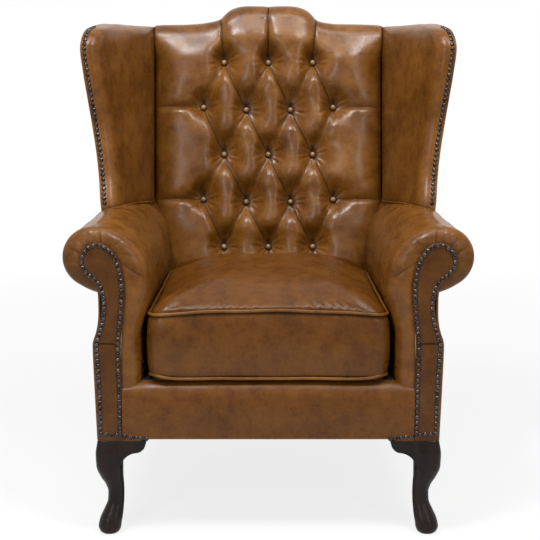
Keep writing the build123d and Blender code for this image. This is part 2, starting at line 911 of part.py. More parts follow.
def make_rear_legs():
    """Rear legs that sweep back from under the posts to flat feet."""
    sections = []
    top_x = (post_inner + post_outer) / 2
    top_y = back_y + frame_slant / 2
    steps = 6
    for i in range(steps + 1):
        share = i / steps
        sweep = (1 - share) ** rear_leg_curve_share
        width = rear_foot_width + (back_post_width - rear_foot_width) * share
        depth = rear_foot_width + (frame_slant - rear_foot_width) * share
        x = top_x + rear_leg_splay * sweep
        y = top_y + rear_leg_rake * sweep
        corners = [(1, 1), (-1, 1), (-1, -1), (1, -1)]
        sections.append(
            [Vector(x + i * width / 2, y + j * depth / 2, leg_height * share) for i, j in corners]
        )
    leg = faceted(sections)
    both_sides("rear_leg", leg - leg_bolt_hole(rear_bolt_x, rear_bolt_y))


def make_leg_bolts():
    """Hanger bolts that join each leg to the post above it."""
    bolts = []
    for x, y in ((front_bolt_x, front_bolt_y), (rear_bolt_x, rear_bolt_y)):
        bolt = Pos(x, y, leg_height) * Cylinder(leg_bolt_radius, 2 * leg_bolt_length)
        bolts += [bolt, mirror(bolt, about=Plane.YZ)]
    parts["leg_bolts"] = Compound(children=bolts)


def deck_sheet(y0, y1, z, thickness):
    """A level sheet between the arms, drawn in with them towards the back."""
    front_half = seat_half_width - toe_shift(y0) - clearance
    rear_half = seat_half_width - toe_shift(y1) - clearance
    plan = Polyline((-front_half, y0), (front_half, y0), (rear_half, y1), (-rear_half, y1), close=True)
    return extrude(Plane.XY.offset(z) * make_face(plan), amount=thickness)


def make_seat():
    """Springs, clips, spring cover, deck pad and cover, front border and dust cover."""
    deck_front = front_y + lip_depth + clearance
    spring_end = back_y + spring_bearing
    length = spring_end - deck_front - 2 * spring_bearing
    waves = round(length / spring_half_wave)
    points = [(0, deck_front), (0, deck_front + spring_bearing)]
    for i in range(1, waves):
        hand = 1 if i % 2 else -1
        points.append((hand * spring_amplitude, deck_front + spring_bearing + length * i / waves))
    points += [(0, spring_end - spring_bearing), (0, spring_end)]
    wire = trace(Polyline(*points), line_width=spring_wire)
    spring = extrude(Plane.XY.offset(rail_top) * wire, amount=spring_wire)
    clip_height = spring_wire + clip_thickness + clearance
    channel = block(
        -spring_wire / 2 - clearance,
        spring_wire / 2 + clearance,
        -clip_length,
        clip_length,
        rail_top,
        rail_top + spring_wire + clearance,
    )
    clip = block(
        -clip_width / 2, clip_width / 2, -clip_length / 2, clip_length / 2, rail_top, rail_top + clip_height
    )
    clip -= channel
    springs = []
    clips = []
    for i in range(spring_count):
        x = (i - (spring_count - 1) / 2) * spring_pitch
        springs.append(Pos(x, 0, 0) * spring)
        clips.append(Pos(x, deck_front + spring_bearing / 2, 0) * clip)
        clips.append(Pos(x, spring_end - spring_bearing / 2, 0) * clip)
    parts["seat_springs"] = Compound(children=springs)
    parts["spring_clips"] = Compound(children=clips)

    pad_end = frame_y(deck_bottom) - (tuft_front + clearance) / math.cos(math.radians(recline))
    pad_bottom = deck_bottom + cloth + clearance
    cover_bottom = pad_bottom + deck_pad_thickness + clearance
    parts["spring_cover"] = deck_sheet(deck_front, spring_end, deck_bottom, cloth)
    parts["deck_pad"] = deck_sheet(deck_front, pad_end, pad_bottom, deck_pad_thickness)
    parts["deck_cover"] = deck_sheet(deck_front, pad_end, cover_bottom, cloth)

    border_half = facing_inner - toe_shift(post_front_y) - clearance
    lip_half = seat_half_width - toe_shift(deck_front) - clearance
    lip_top = rail_top + lip_height
    lip_end = front_y + lip_depth
    border = block(-border_half, border_half, front_y, front_y + border_pad, leg_height, rail_top)
    lip = block(-lip_half, lip_half, front_y, lip_end, rail_top, lip_top)
    lip = fillet(lip.edges().filter_by(Axis.X).group_by(Axis.Z)[-1], lip_round)
    lip -= block(
        -border_half, border_half, front_y + border_pad, lip_end + clearance, leg_height, rail_top + clearance
    )
    parts["front_border"] = border + lip

    dust_front = front_y + knee_ear_thickness + spring_wire
    dust_half = rail_inner - lip_depth / 2
    dust_rear = post_inner - lip_depth / 2
    dust = Polyline(
        (-dust_half, dust_front),
        (dust_half, dust_front),
        (dust_rear, back_y + rail_thickness),
        (-dust_rear, back_y + rail_thickness),
        close=True,
    )
    parts["dust_cover"] = extrude(Plane.XY.offset(leg_height) * make_face(dust), amount=-cloth)


def cushion_form():
    """The outside of the cushion: flat below, drawn in at its sides and crowned on top."""
    front = front_y + cushion_front_setback
    waist_height = (cushion_bottom + cushion_top) / 2
    sections = []
    for depth_share, crown_share in cushion_shares:
        y = front + (cushion_rear - front) * depth_share
        half = cushion_half_width * (1 - (1 - cushion_rear_width_share) * depth_share)
        waist = half - cushion_pull
        crown = cushion_top + cushion_crown * crown_share
        sections.append(
            Plane.XZ.offset(-y)
            * outline(
                Line((-half, cushion_bottom), (half, cushion_bottom)),
                ThreePointArc((half, cushion_bottom), (waist, waist_height), (half, cushion_top)),
                ThreePointArc((half, cushion_top), (0, crown), (-half, cushion_top)),
                ThreePointArc((-half, cushion_top), (-waist, waist_height), (-half, cushion_bottom)),
            )
        )
    return loft(sections, ruled=True) & cushion_plan(0, 2 * cushion_top)


def cushion_plan(inset, height):
    """Plan of the cushion with its four rounded corners, as a tall prism."""
    front = front_y + cushion_front_setback + inset
    rear = cushion_rear - inset
    front_half = cushion_half_width - inset
    rear_half = cushion_half_width * cushion_rear_width_share - inset
    plan = make_face(
        Polyline((-front_half, front), (front_half, front), (rear_half, rear), (-rear_half, rear), close=True)
    )
    plan = fillet(plan.vertices(), cushion_corner - inset)
    return extrude(plan, amount=height)


def piping_ring(radius, z):
    """Piping round the cushion at one height."""
    rim = cushion_plan(-piping_standoff, clearance).faces().sort_by(Axis.Z)[0].outer_wire()
    start = rim @ 0
    way = rim % 0
    section = Plane(origin=start, z_dir=way) * RegularPolygon(radius, piping_sides)
    return Pos(0, 0, z) * sweep(section, path=rim)


def make_cushion():
    """Loose box cushion: square-cut foam core, wadded leather cover and piping round both faces."""
    wall = cushion_pull + cushion_cover_thickness
    floor = cushion_bottom + cushion_cover_thickness
    room = cushion_plan(wall, cushion_top - floor)
    core = cushion_plan(wall + clearance, cushion_top - floor - 2 * clearance)
    cover = cushion_form() - Pos(0, 0, floor) * room
    for name, z in (("top", cushion_top), ("bottom", cushion_bottom + piping_radius)):
        parts["cushion_piping_" + name] = piping_ring(piping_radius, z)
        cover -= piping_ring(piping_radius + clearance, z)
    parts["cushion_cover"] = cover
    parts["cushion_core"] = Pos(0, 0, floor + clearance) * core


def polygon_ring(radius, height, sides):
    """Corners of a level polygon about the vertical axis."""
    turns = [2 * math.pi * i / sides for i in range(sides)]
    return [Vector(radius * math.cos(turn), radius * math.sin(turn), height) for turn in turns]


def nail_head():
    """A low faceted head with a point, standing on the level plane."""
    base = polygon_ring(nail_radius, 0, nail_sides)
    tip = Vector(0, 0, nail_height)
    faces = [make_face(Polyline(*base, close=True)).faces()[0]]
    for i in range(nail_sides):
        faces.append(Face(Wire.make_polygon([base[i - 1], base[i], tip])))
    return Solid(Shell(faces))


def make_nails():
    """Close-set decorative nails round the facings and down the front of the wings."""
    rim = offset(facing_outline(), amount=-nail_inset).wire()
    count = round(rim.length / nail_pitch)
    nail = nail_head()
    nails = []
    for i in range(count):
        spot = rim @ (i / count)
        nails.append(Plane(origin=(spot.X, front_y, spot.Y), z_dir=(0, -1, 0)).location * nail)
    low = leg_height + nail_inset
    for i in range(rail_nail_count):
        x = facing_inner - nail_inset - i * nail_pitch
        nails.append(Plane(origin=(x, front_y, low), z_dir=(0, -1, 0)).location * nail)
    both_sides("facing_nails", Compound(children=nails))

    wing_nails = []
    for level in range(len(wing_edge_shares) - 1):
        low = wing_point(level, wing_nail_inset, 0)
        edge = wing_point(level + 1, wing_nail_inset, 0) - low
        outward = edge.cross(wing_section(level)[2]).normalized()
        count = round(edge.length / nail_pitch)
        for i in range(count):
            spot = low + edge * ((2 * i + 1) / (2 * count)) + outward * clearance
            if spot.Z > arm_height + nail_pitch:
                wing_nails.append(Plane(origin=spot, z_dir=outward).location * nail)
    both_sides("wing_nails", Compound(children=wing_nails))


cushion_bottom = deck_top + clearance
cushion_top = cushion_bottom + cushion_side_height
cushion_rear = (
    frame_y(cushion_bottom) - tuft_front / math.cos(math.radians(recline)) - cushion_back_gap
)
front_bolt_x = base_half_width - leg_foot_radius
front_bolt_y = front_y + leg_foot_radius
rear_bolt_x = (post_inner + post_outer) / 2
rear_bolt_y = back_y + frame_slant / 2

make_seat_frame()
make_front_legs()
make_rear_legs()
make_leg_bolts()
make_arms()
make_arm_panels()
make_wings()
make_back()
make_seat()
make_cushion()
make_nails()

os.makedirs("parts", exist_ok=True)
for name, piece in parts.items():
    export_step(piece, "parts/" + name + ".step")
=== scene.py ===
import json
import math

import bmesh
import bpy
import numpy as np
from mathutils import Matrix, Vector


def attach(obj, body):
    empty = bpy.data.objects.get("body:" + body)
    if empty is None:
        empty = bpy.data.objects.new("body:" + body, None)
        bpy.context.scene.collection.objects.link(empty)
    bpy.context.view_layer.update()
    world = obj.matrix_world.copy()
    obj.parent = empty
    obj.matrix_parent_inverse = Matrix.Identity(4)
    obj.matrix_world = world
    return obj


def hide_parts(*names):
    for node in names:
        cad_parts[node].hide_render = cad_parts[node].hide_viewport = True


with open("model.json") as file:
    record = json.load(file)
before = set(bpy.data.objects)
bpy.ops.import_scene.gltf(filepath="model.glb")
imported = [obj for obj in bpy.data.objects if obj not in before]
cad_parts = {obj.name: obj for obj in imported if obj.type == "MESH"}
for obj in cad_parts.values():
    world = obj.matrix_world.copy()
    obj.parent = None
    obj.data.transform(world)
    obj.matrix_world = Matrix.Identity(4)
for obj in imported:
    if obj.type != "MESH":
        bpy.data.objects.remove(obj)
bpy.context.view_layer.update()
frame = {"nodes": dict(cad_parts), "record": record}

# Wingback armchair. Lengths are in millimetres until a piece is made, and the frame is the CAD's:
# the chair faces -Y, +Z is up, and the floor is at z = 0. Pieces are made for the right side and
# mirrored to the left.

scene = bpy.context.scene

RECLINE = math.radians(11)
TOE = math.tan(math.radians(2.3))  # the arms close in towards the back
FRONT_Y = -400.0
BACK_Y, SEAT_Z = 200.0, 330.0  # foot of the reclined back
RAIL_Z = 204.0  # underside of the rails
STILE_X = 330.5  # outer side of the back
POST_DEPTH = 50.9  # level depth of the back frame
BACK_HALF, SEAM_X = 281.0, 280.6  # half width of the inside back, and its seam with the wings
PAD_FRONT = 58.0  # depth of its padding
BUTTON_GAP = 54.5  # half the distance between two buttons of a row
ARM_CROWN, ARM_ROLL = (356, 532, 114), (356, 584, 63)  # arcs of the padded arm: centre and radius
NAIL_STEP = 11.0
LEG_HALF = 24.0

# height up the wing, how far forward its edge comes, and how far out it flares
WING_LEVELS = np.array([
    (0.000, 1.000, 0.42), (0.150, 0.912, 0.54), (0.278, 0.807, 0.61), (0.397, 0.754, 0.69),
    (0.515, 0.737, 0.78), (0.633, 0.765, 0.86), (0.760, 0.807, 0.94), (0.878, 0.818, 1.00),
    (0.931, 0.772, 0.97), (0.972, 0.649, 0.89), (1.000, 0.440, 0.76),
])
# height up the front leg, how far in from the corner, width, and roundness
FRONT_LEG = np.array([
    (0.00, 0.88, 0.62, 0.94), (0.02, 0.88, 0.84, 0.94), (0.07, 0.88, 0.99, 0.94),
    (0.14, 0.98, 0.98, 0.94), (0.24, 1.22, 0.84, 0.94), (0.33, 1.40, 0.71, 0.94),
    (0.42, 1.43, 0.70, 0.92), (0.50, 1.34, 0.78, 0.88), (0.60, 1.12, 0.97, 0.80),
    (0.72, 0.97, 1.13, 0.66), (0.84, 0.96, 1.14, 0.52), (1.00, 1.06, 1.04, 0.40),
])


# ---- numbers and curves

def smooth_keys(keys, values, at):
    """Cubic interpolation through keys without overshoot. Values may have several columns."""
    x, y, at = (np.asarray(numbers, float) for numbers in (keys, values, at))
    if y.ndim > 1:
        return np.stack([smooth_keys(x, column, at) for column in y.T], -1)
    at = np.clip(at, x[0], x[-1])
    h = np.diff(x)
    d = np.diff(y) / h
    same = d[:-1] * d[1:] > 0
    w1, w2 = 2 * h[1:] + h[:-1], h[1:] + 2 * h[:-1]
    inner = (w1 + w2) / (w1 / np.where(same, d[:-1], 1) + w2 / np.where(same, d[1:], 1))
    m = np.r_[d[0], np.where(same, inner, 0), d[-1]]
    i = np.clip(np.searchsorted(x, at, side="right") - 1, 0, len(x) - 2)
    s = (at - x[i]) / h[i]
    return (
        (2 * s**3 - 3 * s**2 + 1) * y[i] + (s**3 - 2 * s**2 + s) * h[i] * m[i]
        + (3 * s**2 - 2 * s**3) * y[i + 1] + (s**3 - s**2) * h[i] * m[i + 1]
    )


def smoothstep(low, high, value):
    t = np.clip((value - low) / (high - low), 0, 1)
    return t * t * (3 - 2 * t)


def ripple(a, b, seed, wavelength):
    """Smooth wandering values between about -1 and 1, the same each run."""
    rng = np.random.default_rng(seed)
    total = np.zeros(np.broadcast(a, b).shape)
    for _ in range(7):
        angle, phase = rng.uniform(0, 2 * math.pi, 2)
        k = 2 * math.pi / (wavelength * rng.uniform(0.6, 1.7))
        total = total + np.sin(k * (a * math.cos(angle) + b * math.sin(angle)) + phase)
    return total / 3.2


def along_path(points, count, closed=False):
    """Points spread evenly along a polyline."""
    points = np.asarray(points, float)
    if closed:
        points = np.vstack([points, points[:1]])
    run = run_along(points)
    at = np.linspace(0, run[-1], count, endpoint=not closed)
    return xyz(*[np.interp(at, run, column) for column in points.T])


def run_along(points):
    """Distance from the first point of a polyline to each of its points."""
    return np.r_[0, np.cumsum(np.linalg.norm(np.diff(points, axis=0), axis=1))]


def unit(vectors):
    return vectors / np.linalg.norm(vectors, axis=1)[:, None]


def bell(offset, width):
    return np.exp(-((offset / width) ** 2))


def xyz(*parts):
    """Points from their coordinates, each of them a number or an array."""
    return np.stack(np.broadcast_arrays(*parts), -1)


def arc(cx, cy, r, start, end, count):
    """Points of an arc, angles in degrees."""
    a = np.radians(np.linspace(start, end, count))
    return xyz(cx + r * np.cos(a), cy + r * np.sin(a))


def relax(line, times):
    """Evens out a line of points between its ends."""
    for _ in range(times):
        line[1:-1] = 0.5 * line[1:-1] + 0.25 * (line[:-2] + line[2:])


def frame_y(z):
    """Front face of the reclined back frame."""
    return BACK_Y + (z - SEAT_Z) * math.tan(RECLINE)


def on_back(x, v, w):
    """A point across, up and out from the back frame."""
    return xyz(
        x, BACK_Y + v * math.sin(RECLINE) - w * math.cos(RECLINE),
        SEAT_Z + v * math.cos(RECLINE) + w * math.sin(RECLINE),
    )


# ---- mesh helpers

def configure(target, **settings):
    for key, value in settings.items():
        setattr(target, key, value)
    return target


def new_object(name, data, **settings):
    obj = configure(bpy.data.objects.new(name, data), **settings)
    scene.collection.objects.link(obj)
    return obj


def new_mesh(name, points, faces):
    """An object from points in metres."""
    mesh = bpy.data.meshes.new(name)
    mesh.from_pydata(np.asarray(points).tolist(), [], faces)
    return new_object(name, mesh)


def grid_faces(rows, columns, close_rows=False, close_columns=False, first=0):
    i, j = np.meshgrid(
        np.arange(rows if close_rows else rows - 1),
        np.arange(columns if close_columns else columns - 1), indexing="ij",
    )
    i2, j2 = (i + 1) % rows, (j + 1) % columns
    quads = np.stack([i * columns + j, i2 * columns + j, i2 * columns + j2, i * columns + j2], -1)
    return (quads.reshape(-1, 4) + first).tolist()


def add_piece(name, points, nodes, faces=None, inside=None, **finish):
    """A smooth-shaded mesh piece in place of CAD nodes, from points in millimetres.

    Without faces the points are a grid."""
    faces = faces or grid_faces(*points.shape[:2])
    points = points.reshape(-1, 3) * 0.001
    obj = new_mesh(name, points, faces)
    mesh = obj.data
    mesh.validate()
    bm = bmesh.new()
    bm.from_mesh(mesh)
    bmesh.ops.recalc_face_normals(bm, faces=bm.faces)
    middle = Vector(points.mean(axis=0)) if inside is None else Vector(inside) * 0.001
    outwards = sum(f.calc_area() * f.normal.dot(f.calc_center_median() - middle) for f in bm.faces)
    if outwards < 0:
        bmesh.ops.reverse_faces(bm, faces=bm.faces)
    bm.to_mesh(mesh)
    bm.free()
    finish_piece(obj, nodes, **finish)


def finish_piece(obj, nodes, material=None, crease=None, fill=None, body="frame"):
    """Smooth shading, painted shade marks and material, and what the piece is in the assembly."""
    mesh = obj.data
    for polygon in mesh.polygons:
        polygon.use_smooth = True
    if crease is not None:
        # the painted shade marks go on the points for the leather to darken by
        layer = mesh.attributes.new("crease", "FLOAT", "POINT")
        layer.data.foreach_set("value", np.asarray(crease, np.float32).ravel())
    mesh.materials.clear()
    mesh.materials.append(material or TAN)
    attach(obj, body)
    if nodes:
        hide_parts(*nodes)


def add_pair(name, points, nodes, faces=None, inside=None, **finish):
    """The piece for the right side, and its mirror image for the left."""
    for side, sign in (("right", 1), ("left", -1)):
        centre = inside and (sign * inside[0], *inside[1:])
        sided = [f"{node}_{side}" for node in nodes]
        add_piece(f"{name}_{side}", points * (sign, 1, 1), sided, faces, centre, **finish)


def lathe_many(profile, places, normals, sides, turn=0.0):
    """Copies of a small turned form: profile of (radius, height), each on its own place and normal."""
    radius, height = np.array(profile, float).T[:, :-1, None, None]
    points, faces = [], []
    for index, (place, normal) in enumerate(zip(places, normals)):
        n = np.asarray(normal, float) / np.linalg.norm(normal)
        side = np.cross(n, (0.0, 0.0, 1.0) if abs(n[2]) < 0.9 else (0.0, 1.0, 0.0))
        side /= np.linalg.norm(side)
        a = 2 * math.pi * (np.arange(sides) + turn * index)[:, None] / sides
        ring = np.cos(a) * side + np.sin(a) * np.cross(n, side)
        first = len(points)
        points += [*(place + radius * ring + height * n).reshape(-1, 3), place + profile[-1][1] * n]
        faces += grid_faces(len(profile) - 1, sides, close_columns=True, first=first)
        last, tip = first + (len(profile) - 2) * sides, len(points) - 1
        faces += [[last + k, last + (k + 1) % sides, tip] for k in range(sides)]
        faces.append([first + k for k in range(sides)])
    return np.array(points), faces


def tube(path, radius, sides=12, closed=True):
    """A tube round a path of points, closed on itself or open."""
    path = np.asarray(path, float)
    if closed:
        ahead = np.roll(path, -1, axis=0) - np.roll(path, 1, axis=0)
    else:
        ahead = np.gradient(path, axis=0)
    ahead = unit(ahead)
    across = unit(np.cross(ahead, (0, 0, 1.0)))
    up = np.cross(across, ahead)
    a = 2 * math.pi * np.arange(sides) / sides
    radius = np.broadcast_to(radius, (len(path),))[:, None, None]
    ring = np.cos(a)[None, :, None] * across[:, None] + np.sin(a)[None, :, None] * up[:, None]
    points = path[:, None] + radius * ring
    return points.reshape(-1, 3), grid_faces(len(path), sides, closed, True)


def stacked(rings):
    """A closed form from rings of points, each end filled in."""
    points = np.stack(rings)
    size = points.shape[1]
    faces = grid_faces(len(rings), size, close_columns=True)
    faces += [list(range(first, first + size)) for first in (0, (len(rings) - 1) * size)]
    return points.reshape(-1, 3), faces


# ---- materials

class Graph:
    """The node tree of a material or world. One call adds a node, sets it up and links its inputs."""

    def __init__(self, owner):
        owner.use_nodes = True
        self.owner, self.tree = owner, owner.node_tree

    def add(self, kind, inputs=(), output=0, **settings):
        node = configure(self.tree.nodes.new("ShaderNode" + kind), **settings)
        self.feed(node, inputs)
        return node.outputs[output]

    def feed(self, node, inputs):
        for key, value in dict(inputs).items():
            if isinstance(value, bpy.types.NodeSocket):
                self.tree.links.new(value, node.inputs[key])
            else:
                node.inputs[key].default_value = value

    def maths(self, operation, a, b):
        return self.add("Math", {0: a, 1: b}, operation=operation)


class Look(Graph):
    """A procedural material in the object's own space."""

    def __init__(self, name):
        super().__init__(bpy.data.materials.new(name))
        self.place = self.add("TexCoord", output="Object")

    def noise(self, scale, detail=4.0, rough=0.55, stretch=None):
        place = self.add("Mapping", {"Vector": self.place, "Scale": stretch}) if stretch else self.place
        inputs = {"Vector": place, "Scale": scale, "Detail": detail, "Roughness": rough}
        return self.add("TexNoise", inputs, "Fac")

    def cells(self, place, scale):
        inputs = {"Vector": place, "Scale": scale}
        return self.add("TexVoronoi", inputs, "Distance", feature="DISTANCE_TO_EDGE")

    def ramp(self, value, stops):
        socket = self.add("ValToRGB", {"Fac": value}, "Color")
        elements = socket.node.color_ramp.elements
        while len(elements) < len(stops):
            elements.new(0.5)
        for element, (at, colour) in zip(elements, stops):
            element.position = at
            element.color = (*colour, 1) if isinstance(colour, tuple) else (colour, colour, colour, 1)
        return socket

    def blend(self, a, share, b):
        """Two values added in the given share."""
        return self.maths("ADD", self.maths("MULTIPLY", a, share), self.maths("MULTIPLY", b, 1 - share))

    def mix(self, mode, amount, a, b):
        return self.add("Mix", {0: amount, 6: a, 7: b}, 2, data_type="RGBA", blend_type=mode)

    def bump(self, height, strength, distance, normal=None):
        inputs = {"Strength": strength, "Distance": distance, "Height": height}
        return self.add("Bump", inputs | ({"Normal": normal} if normal else {}))

    def finish(self, inputs):
        self.feed(self.tree.nodes["Principled BSDF"], inputs)
        return self.owner


def leather(name, dark, middle, light, gloss=0.26, veins=0.05, shine=0.20):
    """Antiqued leather: hand-rubbed colour with fine light veins, painted shade in folds, seams and pits, and
    a pebbled grain.
    """
    look = Look(name)
    streaks = look.noise(30, 6, 0.7)
    rubbed = look.blend(look.noise(9.0, 4, 0.55), 0.42, streaks)
    colour = look.ramp(rubbed, [(0.30, dark), (0.50, middle), (0.70, light)])
    drift = look.add("TexNoise", {"Vector": look.place, "Scale": 38, "Detail": 3}, "Color")
    wander = look.add("VectorMath", {0: drift, 1: (0.022,) * 3, 2: look.place}, operation="MULTIPLY_ADD")
    vein = look.ramp(look.cells(wander, 62), [(0.0, 1.0), (0.16, 0.0)])
    colour = look.mix("MIX", look.maths("MULTIPLY", vein, veins), colour, (*[c * 1.15 for c in light], 1))
    speck = look.ramp(look.noise(150, 3, 0.6), [(0.34, 0.74), (0.50, 1.0)])
    colour = look.mix("MULTIPLY", 0.5, colour, speck)
    # painted shade: each point's shade mark darkens the colour towards near black and takes away specular
    crease = look.add("Attribute", output="Fac", attribute_name="crease")
    pores = look.ramp(look.cells(look.place, 480), [(0.0, 0.0), (0.12, 1.0)])
    grain = look.bump(look.noise(52, 4, 0.55), 0.26, 0.0011)
    return look.finish({
        "Base Color": look.mix("MIX", crease, colour, (*[c * 0.16 for c in dark], 1)),
        "Roughness": look.ramp(streaks, [(0.3, gloss - 0.06), (0.7, gloss + 0.12)]),
        "Normal": look.bump(pores, 0.10, 0.0003, grain),
        "Specular IOR Level": look.maths("MULTIPLY", look.maths("SUBTRACT", 1.0, crease), shine),
        "Coat Weight": 0.04, "Coat Roughness": 0.16,
    })


def timber(name, dark, light, rough, coat, scale=1.0):
    look = Look(name)
    bands = look.noise(14 * scale, 6, 0.6, (3.0, 3.0, 0.35))
    fine = look.noise(90 * scale, 3, 0.6, (3.0, 3.0, 0.2))
    return look.finish({
        "Base Color": look.ramp(look.blend(bands, 0.7, fine), [(0.38, dark), (0.62, light)]),
        "Roughness": look.ramp(bands, [(0.3, rough - 0.04), (0.7, rough + 0.08)]),
        "Normal": look.bump(fine, 0.12, 0.0004),
        "Specular IOR Level": 0.16 if coat else 0.5,
        "Coat Weight": coat, "Coat Roughness": 0.12,
    })


def metal(name, dark, light, rough):
    look = Look(name)
    patches = look.noise(160, 3, 0.6)
    return look.finish({
        "Base Color": look.ramp(patches, [(0.38, dark), (0.62, light)]),
        "Roughness": look.ramp(patches, [(0.3, rough + 0.08), (0.7, rough)]),
        "Normal": look.bump(patches, 0.06, 0.0002), "Metallic": 1.0,
    })


def woven(name, dark, light, scale):
    """Cloth with crossing threads, from two waves in the object's own space."""
    look = Look(name)
    inputs = {"Scale": scale, "Distortion": 0.6, "Vector": look.place}
    weave = look.maths("MULTIPLY", *[look.add("TexWave", inputs, "Fac", bands_direction=way) for way in "XY"])
    return look.finish({
        "Base Color": look.ramp(look.blend(weave, 0.6, look.noise(20, 4, 0.6)), [(0.2, dark), (0.7, light)]),
        "Normal": look.bump(weave, 0.4, 0.0006), "Roughness": 0.85, "Specular IOR Level": 0.1,
    })


TAN = leather("antique_tan_leather", (0.064, 0.019, 0.0025), (0.134, 0.048, 0.0062), (0.205, 0.082, 0.013))
TUFTED = leather(
    "tufted_back_leather", (0.064, 0.019, 0.0025), (0.136, 0.050, 0.0066), (0.212, 0.088, 0.0145),
    gloss=0.25, shine=0.30,
)
PANEL = leather(
    "tan_panel_leather", (0.054, 0.0155, 0.0016), (0.096, 0.0325, 0.0036), (0.142, 0.053, 0.0075),
    gloss=0.28, veins=0.12, shine=0.17,
)
# a darker copy of the panel leather: painted shade for the facings under the rolls
SHADED_FACING = leather(
    "arm_facing_leather", (0.040, 0.0115, 0.0012), (0.070, 0.0235, 0.0026), (0.104, 0.038, 0.0055),
    gloss=0.30, shine=0.15,
)
FINISHES = {
    "tan_leather": TAN,
    "button_leather": leather(
        "button_leather", (0.095, 0.043, 0.014), (0.17, 0.088, 0.034), (0.26, 0.15, 0.065),
        veins=0.0, shine=0.6,
    ),
    "piping_leather": leather(
        "piping_leather", (0.075, 0.024, 0.003), (0.14, 0.053, 0.007), (0.22, 0.09, 0.016),
        gloss=0.32, veins=0.0,
    ),
    "dark_mahogany": timber("dark_mahogany", (0.0035, 0.0018, 0.0014), (0.012, 0.005, 0.004), 0.30, 0.05),
    "frame_timber": timber("frame_timber", (0.30, 0.19, 0.10), (0.52, 0.37, 0.22), 0.55, 0.0, 0.6),
    "antique_nails": metal("antique_nails", (0.016, 0.014, 0.014), (0.085, 0.075, 0.070), 0.22),
    "frame_steel": metal("frame_steel", (0.22, 0.22, 0.23), (0.42, 0.42, 0.43), 0.35),
    "lining_cloth": woven("lining_cloth", (0.006, 0.005, 0.004), (0.018, 0.015, 0.012), 300),
    "webbing": woven("webbing", (0.24, 0.17, 0.10), (0.52, 0.41, 0.27), 160),
    "felt_pad": woven("felt_pad", (0.050, 0.040, 0.030), (0.110, 0.090, 0.070), 90),
    "foam": woven("foam", (0.62, 0.55, 0.36), (0.80, 0.74, 0.54), 240),
}
NAIL, MAHOGANY = FINISHES["antique_nails"], FINISHES["dark_mahogany"]


# ---- tufted back

CREST_X = (0, 45, 69, 84, 96, 108, 118, 130, 148, 170, 282)
CREST_V = (775.5, 775.5, 773.5, 769.5, 764, 754.5, 744.5, 738, 734, 731.5, 729)


def crest(x):
    """Height of the back's top edge, up the back frame."""
    return smooth_keys(CREST_X, CREST_V, np.abs(x))


def buttons():
    """Button places by row and column, a little uneven as stuffed by hand."""
    places = {}
    for row, height in enumerate((181.5, 295.0, 408.5, 522.0, 635.5)):
        for column in (-2, 0, 2) if row % 2 == 0 else (-3, -1, 1, 3):
            lift = 0.0 if row % 2 == 0 else (2.5 if abs(column) == 3 else -3.5)
            draw = 0.975 if abs(column) == 3 else 1.0
            places[row, column] = (column * BUTTON_GAP * draw, height + lift)
    return places


def pleats():
    """Pleat lines: start, end, fold width on either side, depth at start, middle and end, and darkness of the
    painted shade along the fold.
    """
    places = buttons()
    lines = []
    for (row, column), (x, v) in places.items():
        for step in (-1, 1):
            end = places.get((row + 1, column + step))
            if end and step < 0:
                lines.append(((x, v), end, 5.0, 23.0, 0.94, 0.62, 0.80, 1.0))
            elif end:
                lines.append(((x, v), end, 13.0, 15.0, 0.86, 0.40, 0.62, 0.50))
    for row in (1, 3):
        for side in (-1, 1):
            x, v = places[row, 3 * side]
            width = (5.0, 16.0) if side < 0 else (16.0, 5.0)
            lines.append(((x, v), (side * 296.0, v - 2), *width, 0.90, 0.48, 0.34, 0.9))
    for column in (-2, 0, 2):
        x, v = places[4, column]
        lines.append(((x, v), (x * 1.10, 768.0), 4.5, 9.0, 0.86, 0.42, 0.34, 1.0))
        lines.append(((x * 1.10, 768.0), (x * 1.12, 930.0), 4.5, 6.0, 0.34, 0.34, 0.34, 1.0))
        x, v = places[0, column]
        lines.append(((x, v), (x, 20.0), 9.0, 14.0, 0.86, 0.50, 0.40, 0.8))
    return lines


